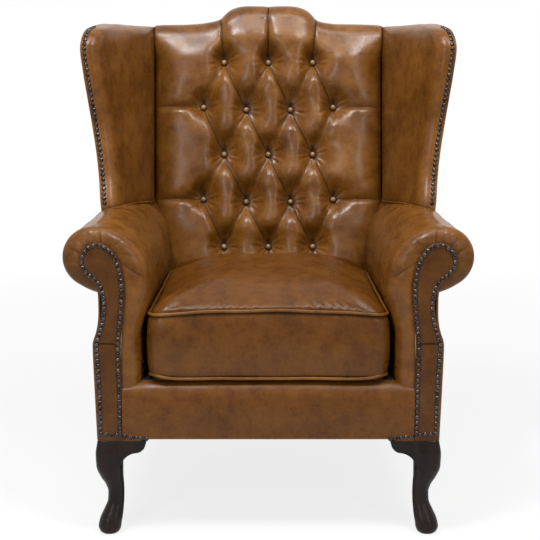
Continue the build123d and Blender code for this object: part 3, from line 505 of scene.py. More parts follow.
def tuft_field(x, v):
    """How full the back is at a place, from 0 at a button to 1 on a pillow, and how much painted shade it
    gets.
    """
    full = np.ones_like(x)
    crease = np.zeros_like(x)
    for (x0, v0), (x1, v1), near, far, first, middle, last, dark in pleats():
        dx, dv = x1 - x0, v1 - v0
        length = math.hypot(dx, dv)
        t = ((x - x0) * dx + (v - v0) * dv) / length**2
        held = np.clip(t, 0, 1)
        off = np.hypot(x - x0 - held * dx, v - v0 - held * dv)
        side = (x - x0) * dv - (v - v0) * dx
        tied = bell(held, 0.22) + (last > 0.55) * bell(1 - held, 0.22)
        lean = side / (length * np.maximum(off, 1e-6))
        width = (0.5 * (near + far) + 0.5 * (far - near) * lean) * (1 + 0.7 * tied)
        sag = np.where(held < 0.5, first + (middle - first) * smoothstep(0, 0.5, held),
                       middle + (last - middle) * smoothstep(0.5, 1.0, held))
        fall = np.exp(-off / width) if dark > 0.5 else np.exp(-((off / width) ** 1.5))
        full = full * (1 - sag * fall)
        # painted shade along the fold of each pleat, for the soft ones only near their ends
        line = (0.5 + 0.5 * dark) * bell(off, 2.0)
        ends = bell(held, 0.2) + bell(1 - held, 0.3)
        crease = np.maximum(crease, line * (dark + (1 - dark) * np.clip(ends, 0, 1)))
    for index, (x0, v0) in enumerate(buttons().values()):
        r = np.hypot(x - x0, v - v0)
        turn = np.arctan2(v - v0, x - x0)
        pit = np.hypot((x - x0) / 16.0, (v - v0 - 5) / np.where(v > v0 + 5, 27.0, 17.0))
        full = full * (1 - np.exp(-(pit**1.9)))
        folds = np.sin(11 * turn + index * 1.7) + 0.6 * np.sin(17 * turn + index * 2.9)
        full = full + 0.026 * folds * bell(r - 24, 12)
        # painted shade round each button and in its pit, and a painted shadow above it
        crease = np.maximum(crease, 0.9 * bell(r - 8.0, 2.6))
        crease = np.maximum(crease, 0.93 * bell(pit, 0.88))
        crease = np.maximum(crease, 0.97 * bell(x - x0, 13) * bell(v - v0 - 13, 16))
    return full, np.clip(crease, 0, 1)


def make_back():
    x = np.linspace(-BACK_HALF, BACK_HALF, 235)
    top = crest(x)
    turn = 34.0
    t = np.linspace(0, 1, 310)[:, None]
    v = -22 + t * (top - turn + 22)
    a = np.linspace(0, math.pi / 2, 22)[1:, None]
    w = np.linspace(PAD_FRONT - turn, -40, 20)[1:, None]
    reach = top + turn * (math.pi / 2 - 1) + PAD_FRONT - turn
    drop = np.linspace(7, 26, 6)[1:, None]
    # height, depth, length of leather from the bottom, and tilt: up the front, over the top and down behind
    parts = [xyz(*part) for part in (
        (v, PAD_FRONT, v, 0.0),
        (top - turn + turn * np.sin(a), PAD_FRONT - turn + turn * np.cos(a), top - turn + turn * a, a),
        (top, w, reach - w, math.pi / 2),
        (top - 7 + 7 * np.cos(a), -40 - 7 * np.sin(a), reach + 40 + 7 * a, math.pi / 2 + a),
        (top - drop, -47.0, reach + 44 + drop, math.pi),
    )]
    v, w, unrolled, tilt = np.moveaxis(np.concatenate(parts), -1, 0)
    x = np.broadcast_to(x, v.shape)
    full, crease = tuft_field(x, unrolled)
    edge = BACK_HALF - np.abs(x)
    side = (1 - np.exp(-edge / 42)) * (1 - 0.35 * np.exp(-edge / 6))
    over = 1 - 0.84 * smoothstep(-60, 24, unrolled - (top - turn))
    height = -8 + 40 * full * (side + 0.85 * (1 - side) * (1 - over)) * over + 8 * (1 - over)
    height -= 7 * np.exp(-edge / 4) * over
    height += 1.1 * ripple(x, unrolled, 3, 120) * side + 0.3 * ripple(x, unrolled, 4, 34) * side * over
    # painted shade in the seams with the wings, and a broad painted shade along the sides, wider on the left
    crease = np.maximum(crease * (0.25 + 0.75 * side), 0.75 * bell(edge, 3.0))
    crease = np.maximum(crease, 0.34 * bell(edge, np.where(x < 0, 72, 36)) * over)
    points = on_back(x, v + height * np.sin(tilt), w + height * np.cos(tilt))
    # walls down both sides, behind the seams with the wings
    walls = []
    for sign, column in ((-1, 0), (1, -1)):
        behind = np.clip(w[:, column] - 42, -47, None)
        wall = on_back(sign * (BACK_HALF - 0.5), np.minimum(v[:, column], top[column] - 2), behind)
        walls.append(wall[:, None])
    points = np.concatenate([walls[0], points, walls[1]], 1)
    # the walls behind the seams get painted shade
    crease = np.pad(crease, ((0, 0), (1, 1)), constant_values=0.8)
    inside = (0, 320, 650)
    add_piece("tufted_back", points, ["inside_back"], None, inside, material=TUFTED, crease=crease, fill=0.95)
    profile = [(6.0, -4.0), (6.6, 0.2), (6.5, 1.8), (5.8, 3.8), (4.4, 5.2), (2.3, 6.1), (0, 6.4)]
    places = [on_back(x0, v0, 52.0) for x0, v0 in buttons().values()]
    normal = (0, -math.cos(RECLINE), math.sin(RECLINE))
    points, faces = lathe_many(profile, places, [normal] * len(places), 24)
    add_piece("button_caps", points, ["back_buttons"], faces, inside, material=FINISHES["button_leather"])


# ---- wings

def wing_outline():
    """The wing's outer edge from the arm up the front and back along the top, and where it turns."""
    height, forward, flare = WING_LEVELS.T
    front = xyz(STILE_X + 90 * flare, BACK_Y - 285 * forward, 590 + 467 * height)
    top = np.array([
        (383.0, 150, 1056.0), (368.0, 220, 1053.5), (353.0, 288, 1051.0), (341.0, 345, 1049.0),
        (331.5, 388, 1045.0),
    ])
    keys = np.vstack([front[:-1], top])
    run = run_along(keys)
    at = np.linspace(0, run[-1], 150)
    line = smooth_keys(run, keys, at)
    return line, at, int(np.argmin(np.abs(at - run[len(front) - 1])))


def bezier(p0, p1, p2, p3, t):
    t = t[None, :, None]
    p0, p1, p2, p3 = (p[:, None] for p in (p0, p1, p2, p3))
    return (1 - t) ** 3 * p0 + 3 * (1 - t) ** 2 * t * p1 + 3 * (1 - t) * t**2 * p2 + t**3 * p3


def make_wings():
    line, run, corner = wing_outline()
    front = line[:corner + 1]
    # horizontal sections from the arm up, the last ones rounding over the top
    roll = np.linspace(0, math.pi / 2, 13)[1:]
    crown = front[-1, 2]
    upright = np.linspace(590, crown - 17, 105)
    z = np.r_[upright, crown - 17 + 17 * np.sin(roll)]
    drawn = np.r_[0 * upright, 15 * (1 - np.cos(roll))]
    edge_line = xyz(np.interp(z, front[:, 2], front[:, 0]), np.interp(z, front[:, 2], front[:, 1]), z)
    back = frame_y(z) + POST_DEPTH
    plan = unit(xyz(STILE_X - edge_line[:, 0], back - edge_line[:, 1], 0))
    inward = xyz(-plan[:, 1], plan[:, 0], 0)
    depth, nose = 42.0, 31.0
    rows = []
    for share in (0.0, 0.08, 0.2, 0.4, 0.6, 0.8, 1.0):
        a = 0.8 + share * (depth - nose - 0.8)
        pull = 0.6 * share * drawn[:, None]
        rows.append(edge_line + inward * (a - pull) + plan * 1.4 * math.exp(-share / 0.10))
    for angle in np.linspace(0, math.pi / 2, 15)[1:]:
        a = depth - nose + nose * math.sin(angle)
        pull = drawn[:, None] * (0.6 + 0.4 * math.sin(angle))
        rows.append(edge_line + inward * (a - pull) + plan * 1.15 * nose * (1 - math.cos(angle)))
    edge = np.stack(rows, 1)
    start = edge[:, -1]
    seam = xyz(SEAM_X, frame_y(z) - (PAD_FRONT - 9) / math.cos(RECLINE), z)
    seam -= inward * drawn[:, None] * 0.12
    gap = np.linalg.norm(seam - start, axis=1)[:, None]
    swell = 15 * smoothstep(15, 150, gap)
    face = bezier(
        start, start + plan * gap * 0.32 + inward * (swell * 0.55 - drawn[:, None] * 0.4),
        seam + (start - seam) * 0.30 + inward * (swell * 1.7 - drawn[:, None] * 0.8), seam,
        np.linspace(0, 1, 50)[1:],
    )
    # walls behind the seam and across the rear
    rear = xyz(0, back - 0.6, z)
    walls = [seam + (rear - seam) * (0, share, 0) for share in (0.3, 0.65, 1.0)]
    walls += [rear + (SEAM_X + 49.4 * share, 0, 0) for share in (0.02, 0.25, 0.5, 0.75, 0.98, 1.0)]
    points = np.concatenate([edge, face, np.stack(walls, 1)], 1)
    seen = edge.shape[1] + face.shape[1]
    u = np.r_[np.zeros(edge.shape[1]), np.linspace(0, 1, 50)[1:], np.linspace(1.1, 2, 9)]
    y, level = points[..., 1], points[..., 2]
    wave = ripple(y, level, 11, 120) + 0.3 * ripple(y, level, 12, 38)
    points = points + inward[:, None] * (wave * np.sin(math.pi * np.clip(u, 0, 1)) ** 0.6)[..., None]
    # the top edge settles towards the back
    along = np.einsum("ijk,ik->ij", points - edge_line[:, None], plan)
    fall = crown - np.interp(along, (line[corner:] - edge_line[-1]) @ plan[-1], line[corner:, 2])
    points[..., 2] -= fall * smoothstep(880, crown, points[..., 2])
    # and closes over to the outer skin
    last = points[-1]
    outer = edge_line[-1] + plan[-1] * np.clip(along[-1], 0, None)[:, None] + inward[-1] * 0.8
    outer[:, 2] = last[:, 2]
    strip = [last * (1 - share) + outer * share for share in (0.35, 0.7, 1.0)]
    points = np.concatenate([points, np.stack(strip)])
    to_seam = np.pad(np.abs(1 - u)[None, :] * gap, ((0, 3), (0, 0)), mode="edge")
    # painted shade in the seam with the back
    crease = np.where(u[None, :] > 0.5, 0.85 * bell(to_seam, 4.5), 0.0)
    across, level = points[..., 0] + (points[..., 1] - FRONT_Y) * TOE - ARM_ROLL[0], points[..., 2]
    outer, inner = (np.hypot(across, level - high) - radius for _, high, radius in (ARM_ROLL, ARM_CROWN))
    from_arm = np.where(across > 0, outer + 1, inner)
    # painted shade along the seam with the arm
    crease = np.maximum(crease, 0.85 * bell(from_arm, 5.5))
    add_pair("wing_pad", points, ["inside_wing"], None, (380, 150, 800), crease=crease, fill=0.9)
    # a welt where the wing's leather meets the arm's
    welt = []
    for column in range(4, seen - 1):
        row = int(np.argmax(from_arm[:, column] > 1.2))
        if 0 < row < 60:
            t = (1.2 - from_arm[row - 1, column]) / (from_arm[row, column] - from_arm[row - 1, column])
            welt.append(points[row - 1, column] * (1 - t) + points[row, column] * t)
    welt = along_path(welt, 90)
    relax(welt, 4)
    points, faces = tube(welt, 2.4 * np.sin(np.linspace(0.25, math.pi - 0.1, 90)) ** 0.4, 10, False)
    add_pair("wing_foot_welt", points, [], faces)
    # outer skin, its front edge turned in beside the nails
    plan = xyz(STILE_X - line[:, 0], frame_y(line[:, 2]) + POST_DEPTH - line[:, 1], 0)
    plan[corner:] = plan[corner]
    plan = unit(plan)
    inward = xyz(-plan[:, 1], plan[:, 0], 0)
    outward = unit(np.cross(unit(np.gradient(line, run, axis=0)), inward))
    turn = run[int(np.argmax(line[:, 2] > 930))]
    share = np.clip((run - turn) / (run[-1] - turn), 0, 1)
    rear_z = np.where(run < turn, line[:, 2], 930 + 115 * (1 - np.exp(-2.2 * share)) / (1 - math.exp(-2.2)))
    rear = xyz(331.0, frame_y(rear_z) + 50.0, rear_z)
    t = np.linspace(0, 1, 40)
    skin = line[:, None] * (1 - t)[None, :, None] + rear[:, None] * t[None, :, None]
    width = np.linalg.norm(rear - line, axis=1)[:, None]
    skin -= inward[:, None] * (4.5 * np.sin(math.pi * t)[None, :] * smoothstep(10, 120, width))[..., None]
    skin[:, 0] = line - outward * 1.0
    lip = np.stack([
        line + inward * 3.4 - outward * 1.8, line + inward * 2.6 + outward * 0.1,
        line + inward * 1.0 + outward * 0.6, line - inward * 0.3 + outward * 0.1,
    ], 1)
    skin = np.concatenate([lip, skin], 1)
    add_pair("wing_skin", skin, ["outside_wing"], None, (300, 150, 800))
    # nails down the front edge
    keep = (line[:, 2] > 655) & (line[:, 1] < 40) & (run < run[corner])
    path = (line + inward * 9.6 + outward * 0.3)[keep]
    normals = outward[keep]
    spots = along_path(np.hstack([path, normals * 0.001]), int(run_along(path)[-1] / NAIL_STEP))
    points, faces = lathe_many(NAIL_PROFILE, spots[:, :3], spots[:, 3:] * 1000, 12, 0.37)
    add_pair("wing_edge_nails", points, ["wing_nails"], faces, (380, 200, 800), material=NAIL)


NAIL_PROFILE = [(4.7, -1.2), (5.0, 0.0), (4.8, 0.9), (4.1, 2.0), (3.0, 2.8), (1.5, 3.3), (0, 3.4)]


# ---- arms

FACING_OUTER = [(345.4, 200), (345.4, 276), (346.8, 329), (348.9, 381), (350.4, 408)]
FACING_CURVE = [
    (350.4, 408), (343, 431.5), (336.3, 453), (333.2, 471), (331.8, 488), (332.6, 502), (334.8, 516),
    (339, 529), (345.8, 539.2), (354.9, 546.8), (364.8, 553.6), (372.7, 562.8), (376.7, 574.5), (376, 587),
    (371, 598.8), (361.7, 608.3), (349.5, 613.2), (337.5, 612.2), (326, 606.4), (316.5, 597.2), (309.6, 586),
    (304.7, 574), (301, 560), (298.3, 543.5), (297, 526), (297.2, 509), (298.8, 488), (301.5, 461),
    (304.7, 433), (306.4, 416), (307.2, 381), (306.6, 350), (306, 319), (305.6, 284), (305.6, 255),
    (306, 228), (306, 200),
]
SCROLL = np.array((342.0, 577.0))  # centre of the facing's scroll
ARM_UPRIGHT = 52  # points of the arm's section below its roll


def facing_path(inset):
    """Front view of the facing's outline: up its outer side, round the scroll, down its inner side."""
    curve = along_path(FACING_CURVE, 420)
    relax(curve, 30)
    outer = along_path(FACING_OUTER, 90)[:-1]
    line = np.vstack([outer, curve])
    ahead = np.gradient(line, axis=0)
    line = line + unit(xyz(ahead[:, 1], -ahead[:, 0])) * (5.6 - inset)
    low = 204 + inset
    foot = line[:, 1] < 300
    line[foot, 1] = low + (line[foot, 1] - 200) * (300 - low) / 100
    return line


def arm_outline():
    """Front view of the padded arm and the matching points of the facing's edge."""
    edge = facing_path(2.8)
    top = int(np.argmax(edge[:, 1]))
    inner = edge[top:][::-1]
    turned = edge - SCROLL
    bearing = np.degrees(np.arctan2(turned[:, 1], turned[:, 0]))
    round_scroll = (edge[:, 1] > 576) | ((edge[:, 0] > 334) & (edge[:, 1] > 518))
    order = np.argsort(bearing[round_scroll])
    bearings, reach = bearing[round_scroll][order], np.hypot(*turned[round_scroll].T)[order]

    def at(angles):
        a = np.radians(angles)
        return SCROLL + np.interp(angles, bearings, reach)[:, None] * xyz(np.cos(a), np.sin(a))

    arm, face = [], []
    z = np.linspace(302, 532, ARM_UPRIGHT)
    x = smooth_keys((302, 425, 445, 465, 485, 505, 532), (262, 262, 258.5, 252, 245.5, 242, 242), z)
    arm.append(xyz(x, z))
    zf = 302 + (z - 302) * (577 - 302) / (532 - 302)
    face.append(xyz(np.interp(zf, inner[:, 1], inner[:, 0]), zf))
    arm.append(arc(*ARM_CROWN, 180, 90, 34)[1:])
    face.append(at(np.linspace(178, 90, 34)[1:]))
    arm.append(arc(*ARM_ROLL, 90, -62, 50)[1:])
    face.append(at(np.linspace(90, -74, 50)[1:]))
    under = [(385.6, 528.4), (374, 521.5), (358, 514.5), (340, 509)]
    arm.append(smooth_keys((0, 0.3, 0.65, 1), under, np.linspace(0, 1, 9)[1:]))
    face.append(at(np.linspace(-76, -95, 8)))
    return np.vstack(arm), np.vstack(face)


def make_arms():
    arm, face = arm_outline()
    count = len(arm)
    bearing = np.degrees(np.arctan2(*(face - SCROLL).T[::-1]))
    on_roll = np.arange(count) >= ARM_UPRIGHT - 1
    nose = np.where(on_roll, 24.0, 36.0)
    nose = np.convolve(np.pad(nose, 9, mode="edge"), np.ones(19) / 19, mode="valid")
    along = run_along(arm)
    tangent = np.gradient(arm, along, axis=0)
    out = unit(xyz(-tangent[:, 1], tangent[:, 0]))
    rows, creases = [], []
    pleat_angles = np.array([176.0, 150, 124, 98, 72, 48, 22, -6])
    # painted shade on the underside of the roll
    shade = 0.36 * smoothstep(35, -50, bearing) * on_roll
    # round the nose, from the facing's edge out to the arm's full section
    for angle in np.linspace(math.pi / 2, 0, 22):
        flat = arm + (face - arm) * (1 - math.cos(angle))
        y = FRONT_Y + 6.5 + nose * (1 - math.sin(angle))
        from_pleat = np.abs(bearing[:, None] - pleat_angles)
        fall = np.exp(-from_pleat / (3.2 + 5.5 * (1 - math.sin(angle))))
        dip = fall @ (1.7 + 0.5 * np.sin(3.1 * np.arange(len(pleat_angles)))) * on_roll
        dip *= math.sin(angle) ** 1.2 * math.cos(angle * 0.55)
        shifted = flat - out * (dip * math.cos(angle))[:, None]
        rows.append(xyz(shifted[:, 0], y + dip * math.sin(angle), shifted[:, 1]))
        # painted shade in the joint with the facing and in the pleat folds
        rim = 0.75 * bell(math.pi / 2 - angle, 0.10)
        lines = 0.62 * bell(from_pleat.min(1), 1.3) * on_roll * smoothstep(0.25, 0.75, math.sin(angle))
        # painted shade under the roll, and the leather darker on the nose towards the facing
        shade_and_darker_nose = np.maximum(shade, 0.24 * math.sin(angle) ** 2 * on_roll)
        creases.append(np.maximum(lines, np.maximum(rim, shade_and_darker_nose)))
    # back along the toed-in side to the reclined back
    end = frame_y(arm[:, 1]) + 50.5
    inner = smoothstep(330, 262, arm[:, 0])
    toe = TOE * (1 - inner * (0.45 + 0.45 * smoothstep(450, 520, arm[:, 1])))
    start_y = FRONT_Y + 6.5 + nose
    for t in np.linspace(0, 1, 80)[1:]:
        y = start_y + (end - start_y) * t
        puff = 1.2 * ripple(along, y, 21, 130) + 0.4 * ripple(along, y, 22, 40)
        puff *= smoothstep(0, 0.06, t)
        p = arm + out * puff[:, None]
        rows.append(xyz(p[:, 0] - (y - FRONT_Y) * toe, y, p[:, 1]))
        creases.append(shade)
    # rounded rear end
    last = rows[-1]
    centre = last.mean(axis=0)
    for pull, back in ((0.985, 1.5), (0.93, 3.0)):
        ring = centre + (last - centre) * pull
        ring[:, 1] += back
        rows.append(ring)
        creases.append(shade)
    points = np.stack(rows)
    faces = grid_faces(*points.shape[:2])
    base = (len(rows) - 1) * count
    faces.append([base + k for k in range(count)])
    add_pair("arm_roll", points, ["inside_arm"], faces, (320, 0, 500), crease=np.stack(creases), fill=0.9)

    # facing: a board under leather, its edge rolled over and its front lightly stuffed
    loops = []
    for inset, y in ((1.2, 0.0), (0.0, -1.2), (0.0, -4.6), (0.5, -5.6), (1.6, -6.2), (4.0, -6.6)):
        path = facing_path(inset)
        loops.append(xyz(path[:, 0], FRONT_Y + 6 + y, path[:, 1]))
    points = np.stack(loops)
    faces = grid_faces(*points.shape[:2], close_columns=True)
    rim = facing_path(4.0)
    top = int(np.argmax(rim[:, 1]))
    right, left = rim[:top + 1], rim[top:][::-1]
    over = 577 + 37 * np.sin(np.linspace(-0.8, 1.56, 40))
    z = np.r_[np.linspace(208.2, 536, 118), np.linspace(537, 548, 16), over]
    z = np.unique(np.clip(z, 208.2, rim[top, 1] - 0.1))
    share = np.linspace(0, 1, 30)[None, :]
    x0, x1 = (np.interp(z, side[:, 1], side[:, 0])[:, None] for side in (left, right))
    flat = x0 + (x1 - x0) * share
    level = z[:, None] + 0 * flat
    off = level - 407 - 3.5 * np.sin(math.pi * share) + 1.5 * ripple(flat, level, 24, 60)
    dip = 1.7 * np.exp(-np.abs(off) / 3.2) * smoothstep(0, 0.1, share) + 0.5 * bell(off - 9, 5)
    arch = np.sin(math.pi * share)
    puff = 1.2 * arch**0.6 * smoothstep(208, 222, level) + 0.3 * ripple(flat, level, 25, 50) * arch
    front = xyz(flat, FRONT_Y - 0.6 - puff + dip, level)
    # painted shade in the fold across the facing
    crease = np.r_[np.zeros(points.size // 3), 0.9 * bell(off, 1.7).ravel()]
    faces += grid_faces(*flat.shape, first=points.size // 3)
    points = np.concatenate([points.reshape(-1, 3), front.reshape(-1, 3)])
    add_pair("arm_scroll", points, ["arm_facing"], faces, (325, -390, 450), material=SHADED_FACING, crease=crease)

    path = facing_path(5.6)
    path = path[(path[:, 1] > 220) | ((path[:, 0] < 320) & (path[:, 1] > 216))]
    spots = along_path(path, int(round(run_along([*path, path[0]])[-1] / NAIL_STEP)), True)
    spots = np.vstack([spots, [(295.4 - NAIL_STEP * k, 214.0 - 1.2 * k) for k in range(5)]])
    places = xyz(spots[:, 0], FRONT_Y - 0.9, spots[:, 1])
    points, faces = lathe_many(NAIL_PROFILE, places, [(0, -1, 0)] * len(places), 12, 0.37)
    add_pair("scroll_nails", points, ["facing_nails"], faces, (325, -300, 450), material=NAIL)

    # outside arm panel
    z = np.r_[RAIL_Z, RAIL_Z, 204.6, np.linspace(206, 521.5, 70)][:, None]
    share = np.r_[0.0, 0.0, 0.001, np.linspace(0.003, 1, 80)]
    depth, inset = (np.r_[4.0, 1.2, 0.3, np.zeros(count)] for count in (70, 80))
    levels = (204, 306, 404, 412, 430, 447, 465, 480, 500, 522)
    front = smooth_keys(levels, (354, 356.8, 359, 358, 352, 348, 346, 345.5, 345.5, 347), z)
    rear = 255.0 + math.tan(RECLINE) * np.clip(z - SEAT_Z, 0, None)
    y = -394 + (rear + 394) * share
    arch = np.clip(np.sin(math.pi * share), 0, 1)
    swell = 4.0 * np.sin(math.pi * (z - RAIL_Z) / 318) * arch**0.7
    ripples = 0.7 * ripple(y, z, 31, 150) * arch**0.5
    x = front * (1 - share) + 330.6 * share + swell + ripples - depth[:, None] - inset
    add_pair("arm_skin", xyz(x, y, z), ["outside_arm"], None, (250, 0, 400))


# ---- outside back and seat front

def make_outside_back():
    edge = STILE_X - 0.2
    x = np.r_[-edge, -edge, np.linspace(0.7 - edge, edge - 0.7, 120), edge, edge]
    lip = np.r_[5.0, 1.0, np.zeros(120), 1.0, 5.0]
    top = crest(x) - 6
    # upright from the rails to the seat, up the reclined back and in over its top edge
    rows = [xyz(x, 251.4 - lip, RAIL_Z)]
    rows += [xyz(x, 255.4 - lip, z) for z in np.linspace(RAIL_Z, SEAT_Z, 26)]
    for share in np.linspace(0, 1, 120)[1:]:
        v = share * top
        puff = 3.5 * math.sin(math.pi * share) ** 0.6 * np.cos(0.5 * math.pi * np.clip(x / 330, -1, 1)) ** 0.7
        puff += 0.8 * ripple(x, v, 41, 160) * math.sin(math.pi * share)
        rows.append(on_back(x, v, lip - 54.4 - puff))
    rows += [on_back(x, top + 1.0, lip - 53.4), on_back(x, top + 1.0, -48.0)]
    add_piece("back_panel", np.stack(rows), ["outside_back"], None, (0, 150, 600))


def make_seat_front():
    """The leather-covered front rail, its top rolled back under the cushion and the arms."""
    x = np.linspace(-300.4, 300.4, 150)
    outer = smoothstep(246, 300, np.abs(x))
    rise, roll = 326.5 - 10 * outer, 40.0 - 24 * outer
    low = RAIL_Z + 5 * smoothstep(264, 250, np.abs(x))
    rows = []
    for inset, share in [(6.0, 0.0), (0.0, 0.0)] + [(0.0, share) for share in np.linspace(0.01, 1, 40)]:
        arch = math.sin(math.pi * share)
        z = low + share * (rise - roll - low)
        rows.append(xyz(x, inset - 400.2 - 2.6 * arch**0.7 + 0.5 * ripple(x, z, 51, 120) * arch, z))
    for angle in np.linspace(0, math.pi / 2, 20)[1:]:
        z = rise - roll + roll * math.sin(angle)
        back = 0.8 * roll * (1 - math.cos(angle)) + 0.6 * ripple(x, z, 52, 90) * math.sin(2 * angle)
        rows.append(xyz(x, back - 400.2, z))
    for _ in range(4):
        rows.append(rows[-1] + (0, 5.0, 0))
    add_piece("seat_front", np.stack(rows), ["front_border"], None, (0, -300, 260), material=PANEL, fill=0.8)


# ---- loose cushion

CUSHION_HALF = 245.0
CUSHION_MIDDLE = -139.0
CUSHION_Y = (-391.0, 112.3)
CUSHION_Z = (329.4, 470.2)


def rim_plan(count, grow=0.0):
    """The seam line round the cushion, with rounded corners, evenly spread."""
    corner = 32.0 + grow
    y0, y1 = CUSHION_Y[0] - grow, CUSHION_Y[1] + grow
    half = CUSHION_HALF + grow
    front, rear = half - corner, 234.0 + grow - corner
    turns = (
        (front, y0 + corner, -90), (rear, y1 - corner, 0), (-rear, y1 - corner, 90),
        (-front, y0 + corner, 180),
    )
    arcs = [arc(x, y, corner, start, start + 90, 12) for x, y, start in turns]
    path = along_path(np.vstack(arcs), count, True)
    u, v = path[:, 0] / half, (path[:, 1] - (y0 + y1) / 2) / ((y1 - y0) / 2)
    path[:, 0] -= np.sign(u) * 3.0 * (1 - np.clip(v, -1, 1) ** 2) * np.clip(np.abs(u), 0, 1) ** 6
    path[:, 1] -= np.sign(v) * 5.0 * (1 - np.clip(u, -1, 1) ** 2) * np.clip(np.abs(v), 0, 1) ** 6
    return path


def cushion_shell():
    """Closed starting form: flat bottom, upright boxing and a crowned top, as rings."""
    rim = rim_plan(260, -0.5)
    centre = np.array([0.0, sum(CUSHION_Y) / 2])
    rings = []
    for share in np.linspace(0.04, 1, 26):
        flat = centre + (rim - centre) * share
        rings.append(xyz(*flat.T, CUSHION_Z[0] + 0.3))
    for share in np.linspace(0, 1, 26)[1:]:
        bulge = 8 * math.sin(math.pi * share) ** 0.6
        z = CUSHION_Z[0] + 0.3 + share * (CUSHION_Z[1] - CUSHION_Z[0] - 0.3)
        rings.append(xyz(*rim_plan(260, bulge - 0.5).T, z))
    for share in np.linspace(1, 0.04, 30)[1:]:
        flat = centre + (rim - centre) * share
        rear = smoothstep(-220, 40, flat[:, 1])
        crown = 45 * (1 - share ** (4.0 + 5 * rear)) ** (0.66 - 0.16 * rear)
        rings.append(xyz(*flat.T, CUSHION_Z[1] + crown))
    return stacked(rings)


def front_bow(points):
    """How far the top seam rises towards the middle of the front."""
    return (9 * (1 - (points[:, 0] / CUSHION_HALF) ** 2) - 3.5) * smoothstep(-150, -360, points[:, 1])


def near_rim(points, z):
    """How near each point is to a seam line, in millimetres."""
    rim = rim_plan(360)
    out = np.full(len(points), 1e9)
    for start in range(0, len(points), 4000):
        block = points[start:start + 4000]
        flat = np.sqrt(((block[:, None, :2] - rim[None]) ** 2).sum(-1).min(1))
        out[start:start + 4000] = np.hypot(flat, block[:, 2] - z)
    return out


def vertices_of(obj):
    return np.array([vertex.co for vertex in obj.data.vertices]) * 1000


def apply_modifier(obj, kind, **settings):
    modifier = configure(obj.modifiers.new(kind.lower(), kind), **settings)
    bpy.ops.object.modifier_apply(modifier=modifier.name)


def inflate(cushion, rest):
    """Cloth under pressure, held at the seams and on the deck."""
    hold = cushion.vertex_groups.new(name="hold")
    seam = np.minimum(near_rim(rest, CUSHION_Z[1]), near_rim(rest, CUSHION_Z[0]))
    deck = np.where(rest[:, 2] < CUSHION_Z[0] + 2, 1.0, 0.0)
    for index, weight in enumerate(np.maximum(np.clip(1.35 - seam / 9.0, 0, 1), deck)):
        if weight > 0:
            hold.add([index], float(weight), "REPLACE")
    cloth = cushion.modifiers.new("cloth", "CLOTH")
    configure(
        cloth.settings, quality=6, mass=0.4, tension_stiffness=18, compression_stiffness=18,
        shear_stiffness=8, bending_stiffness=1.2, use_pressure=True, uniform_pressure_force=4.0,
        vertex_group_mass="hold",
    )
    cloth.settings.effector_weights.gravity = 0.0
    cloth.collision_settings.use_self_collision = False
    configure(cloth.point_cache, frame_start=1, frame_end=20)
    for number in range(1, 21):
        scene.frame_set(number)
    bpy.ops.object.modifier_apply(modifier="cloth")
    scene.frame_set(1)


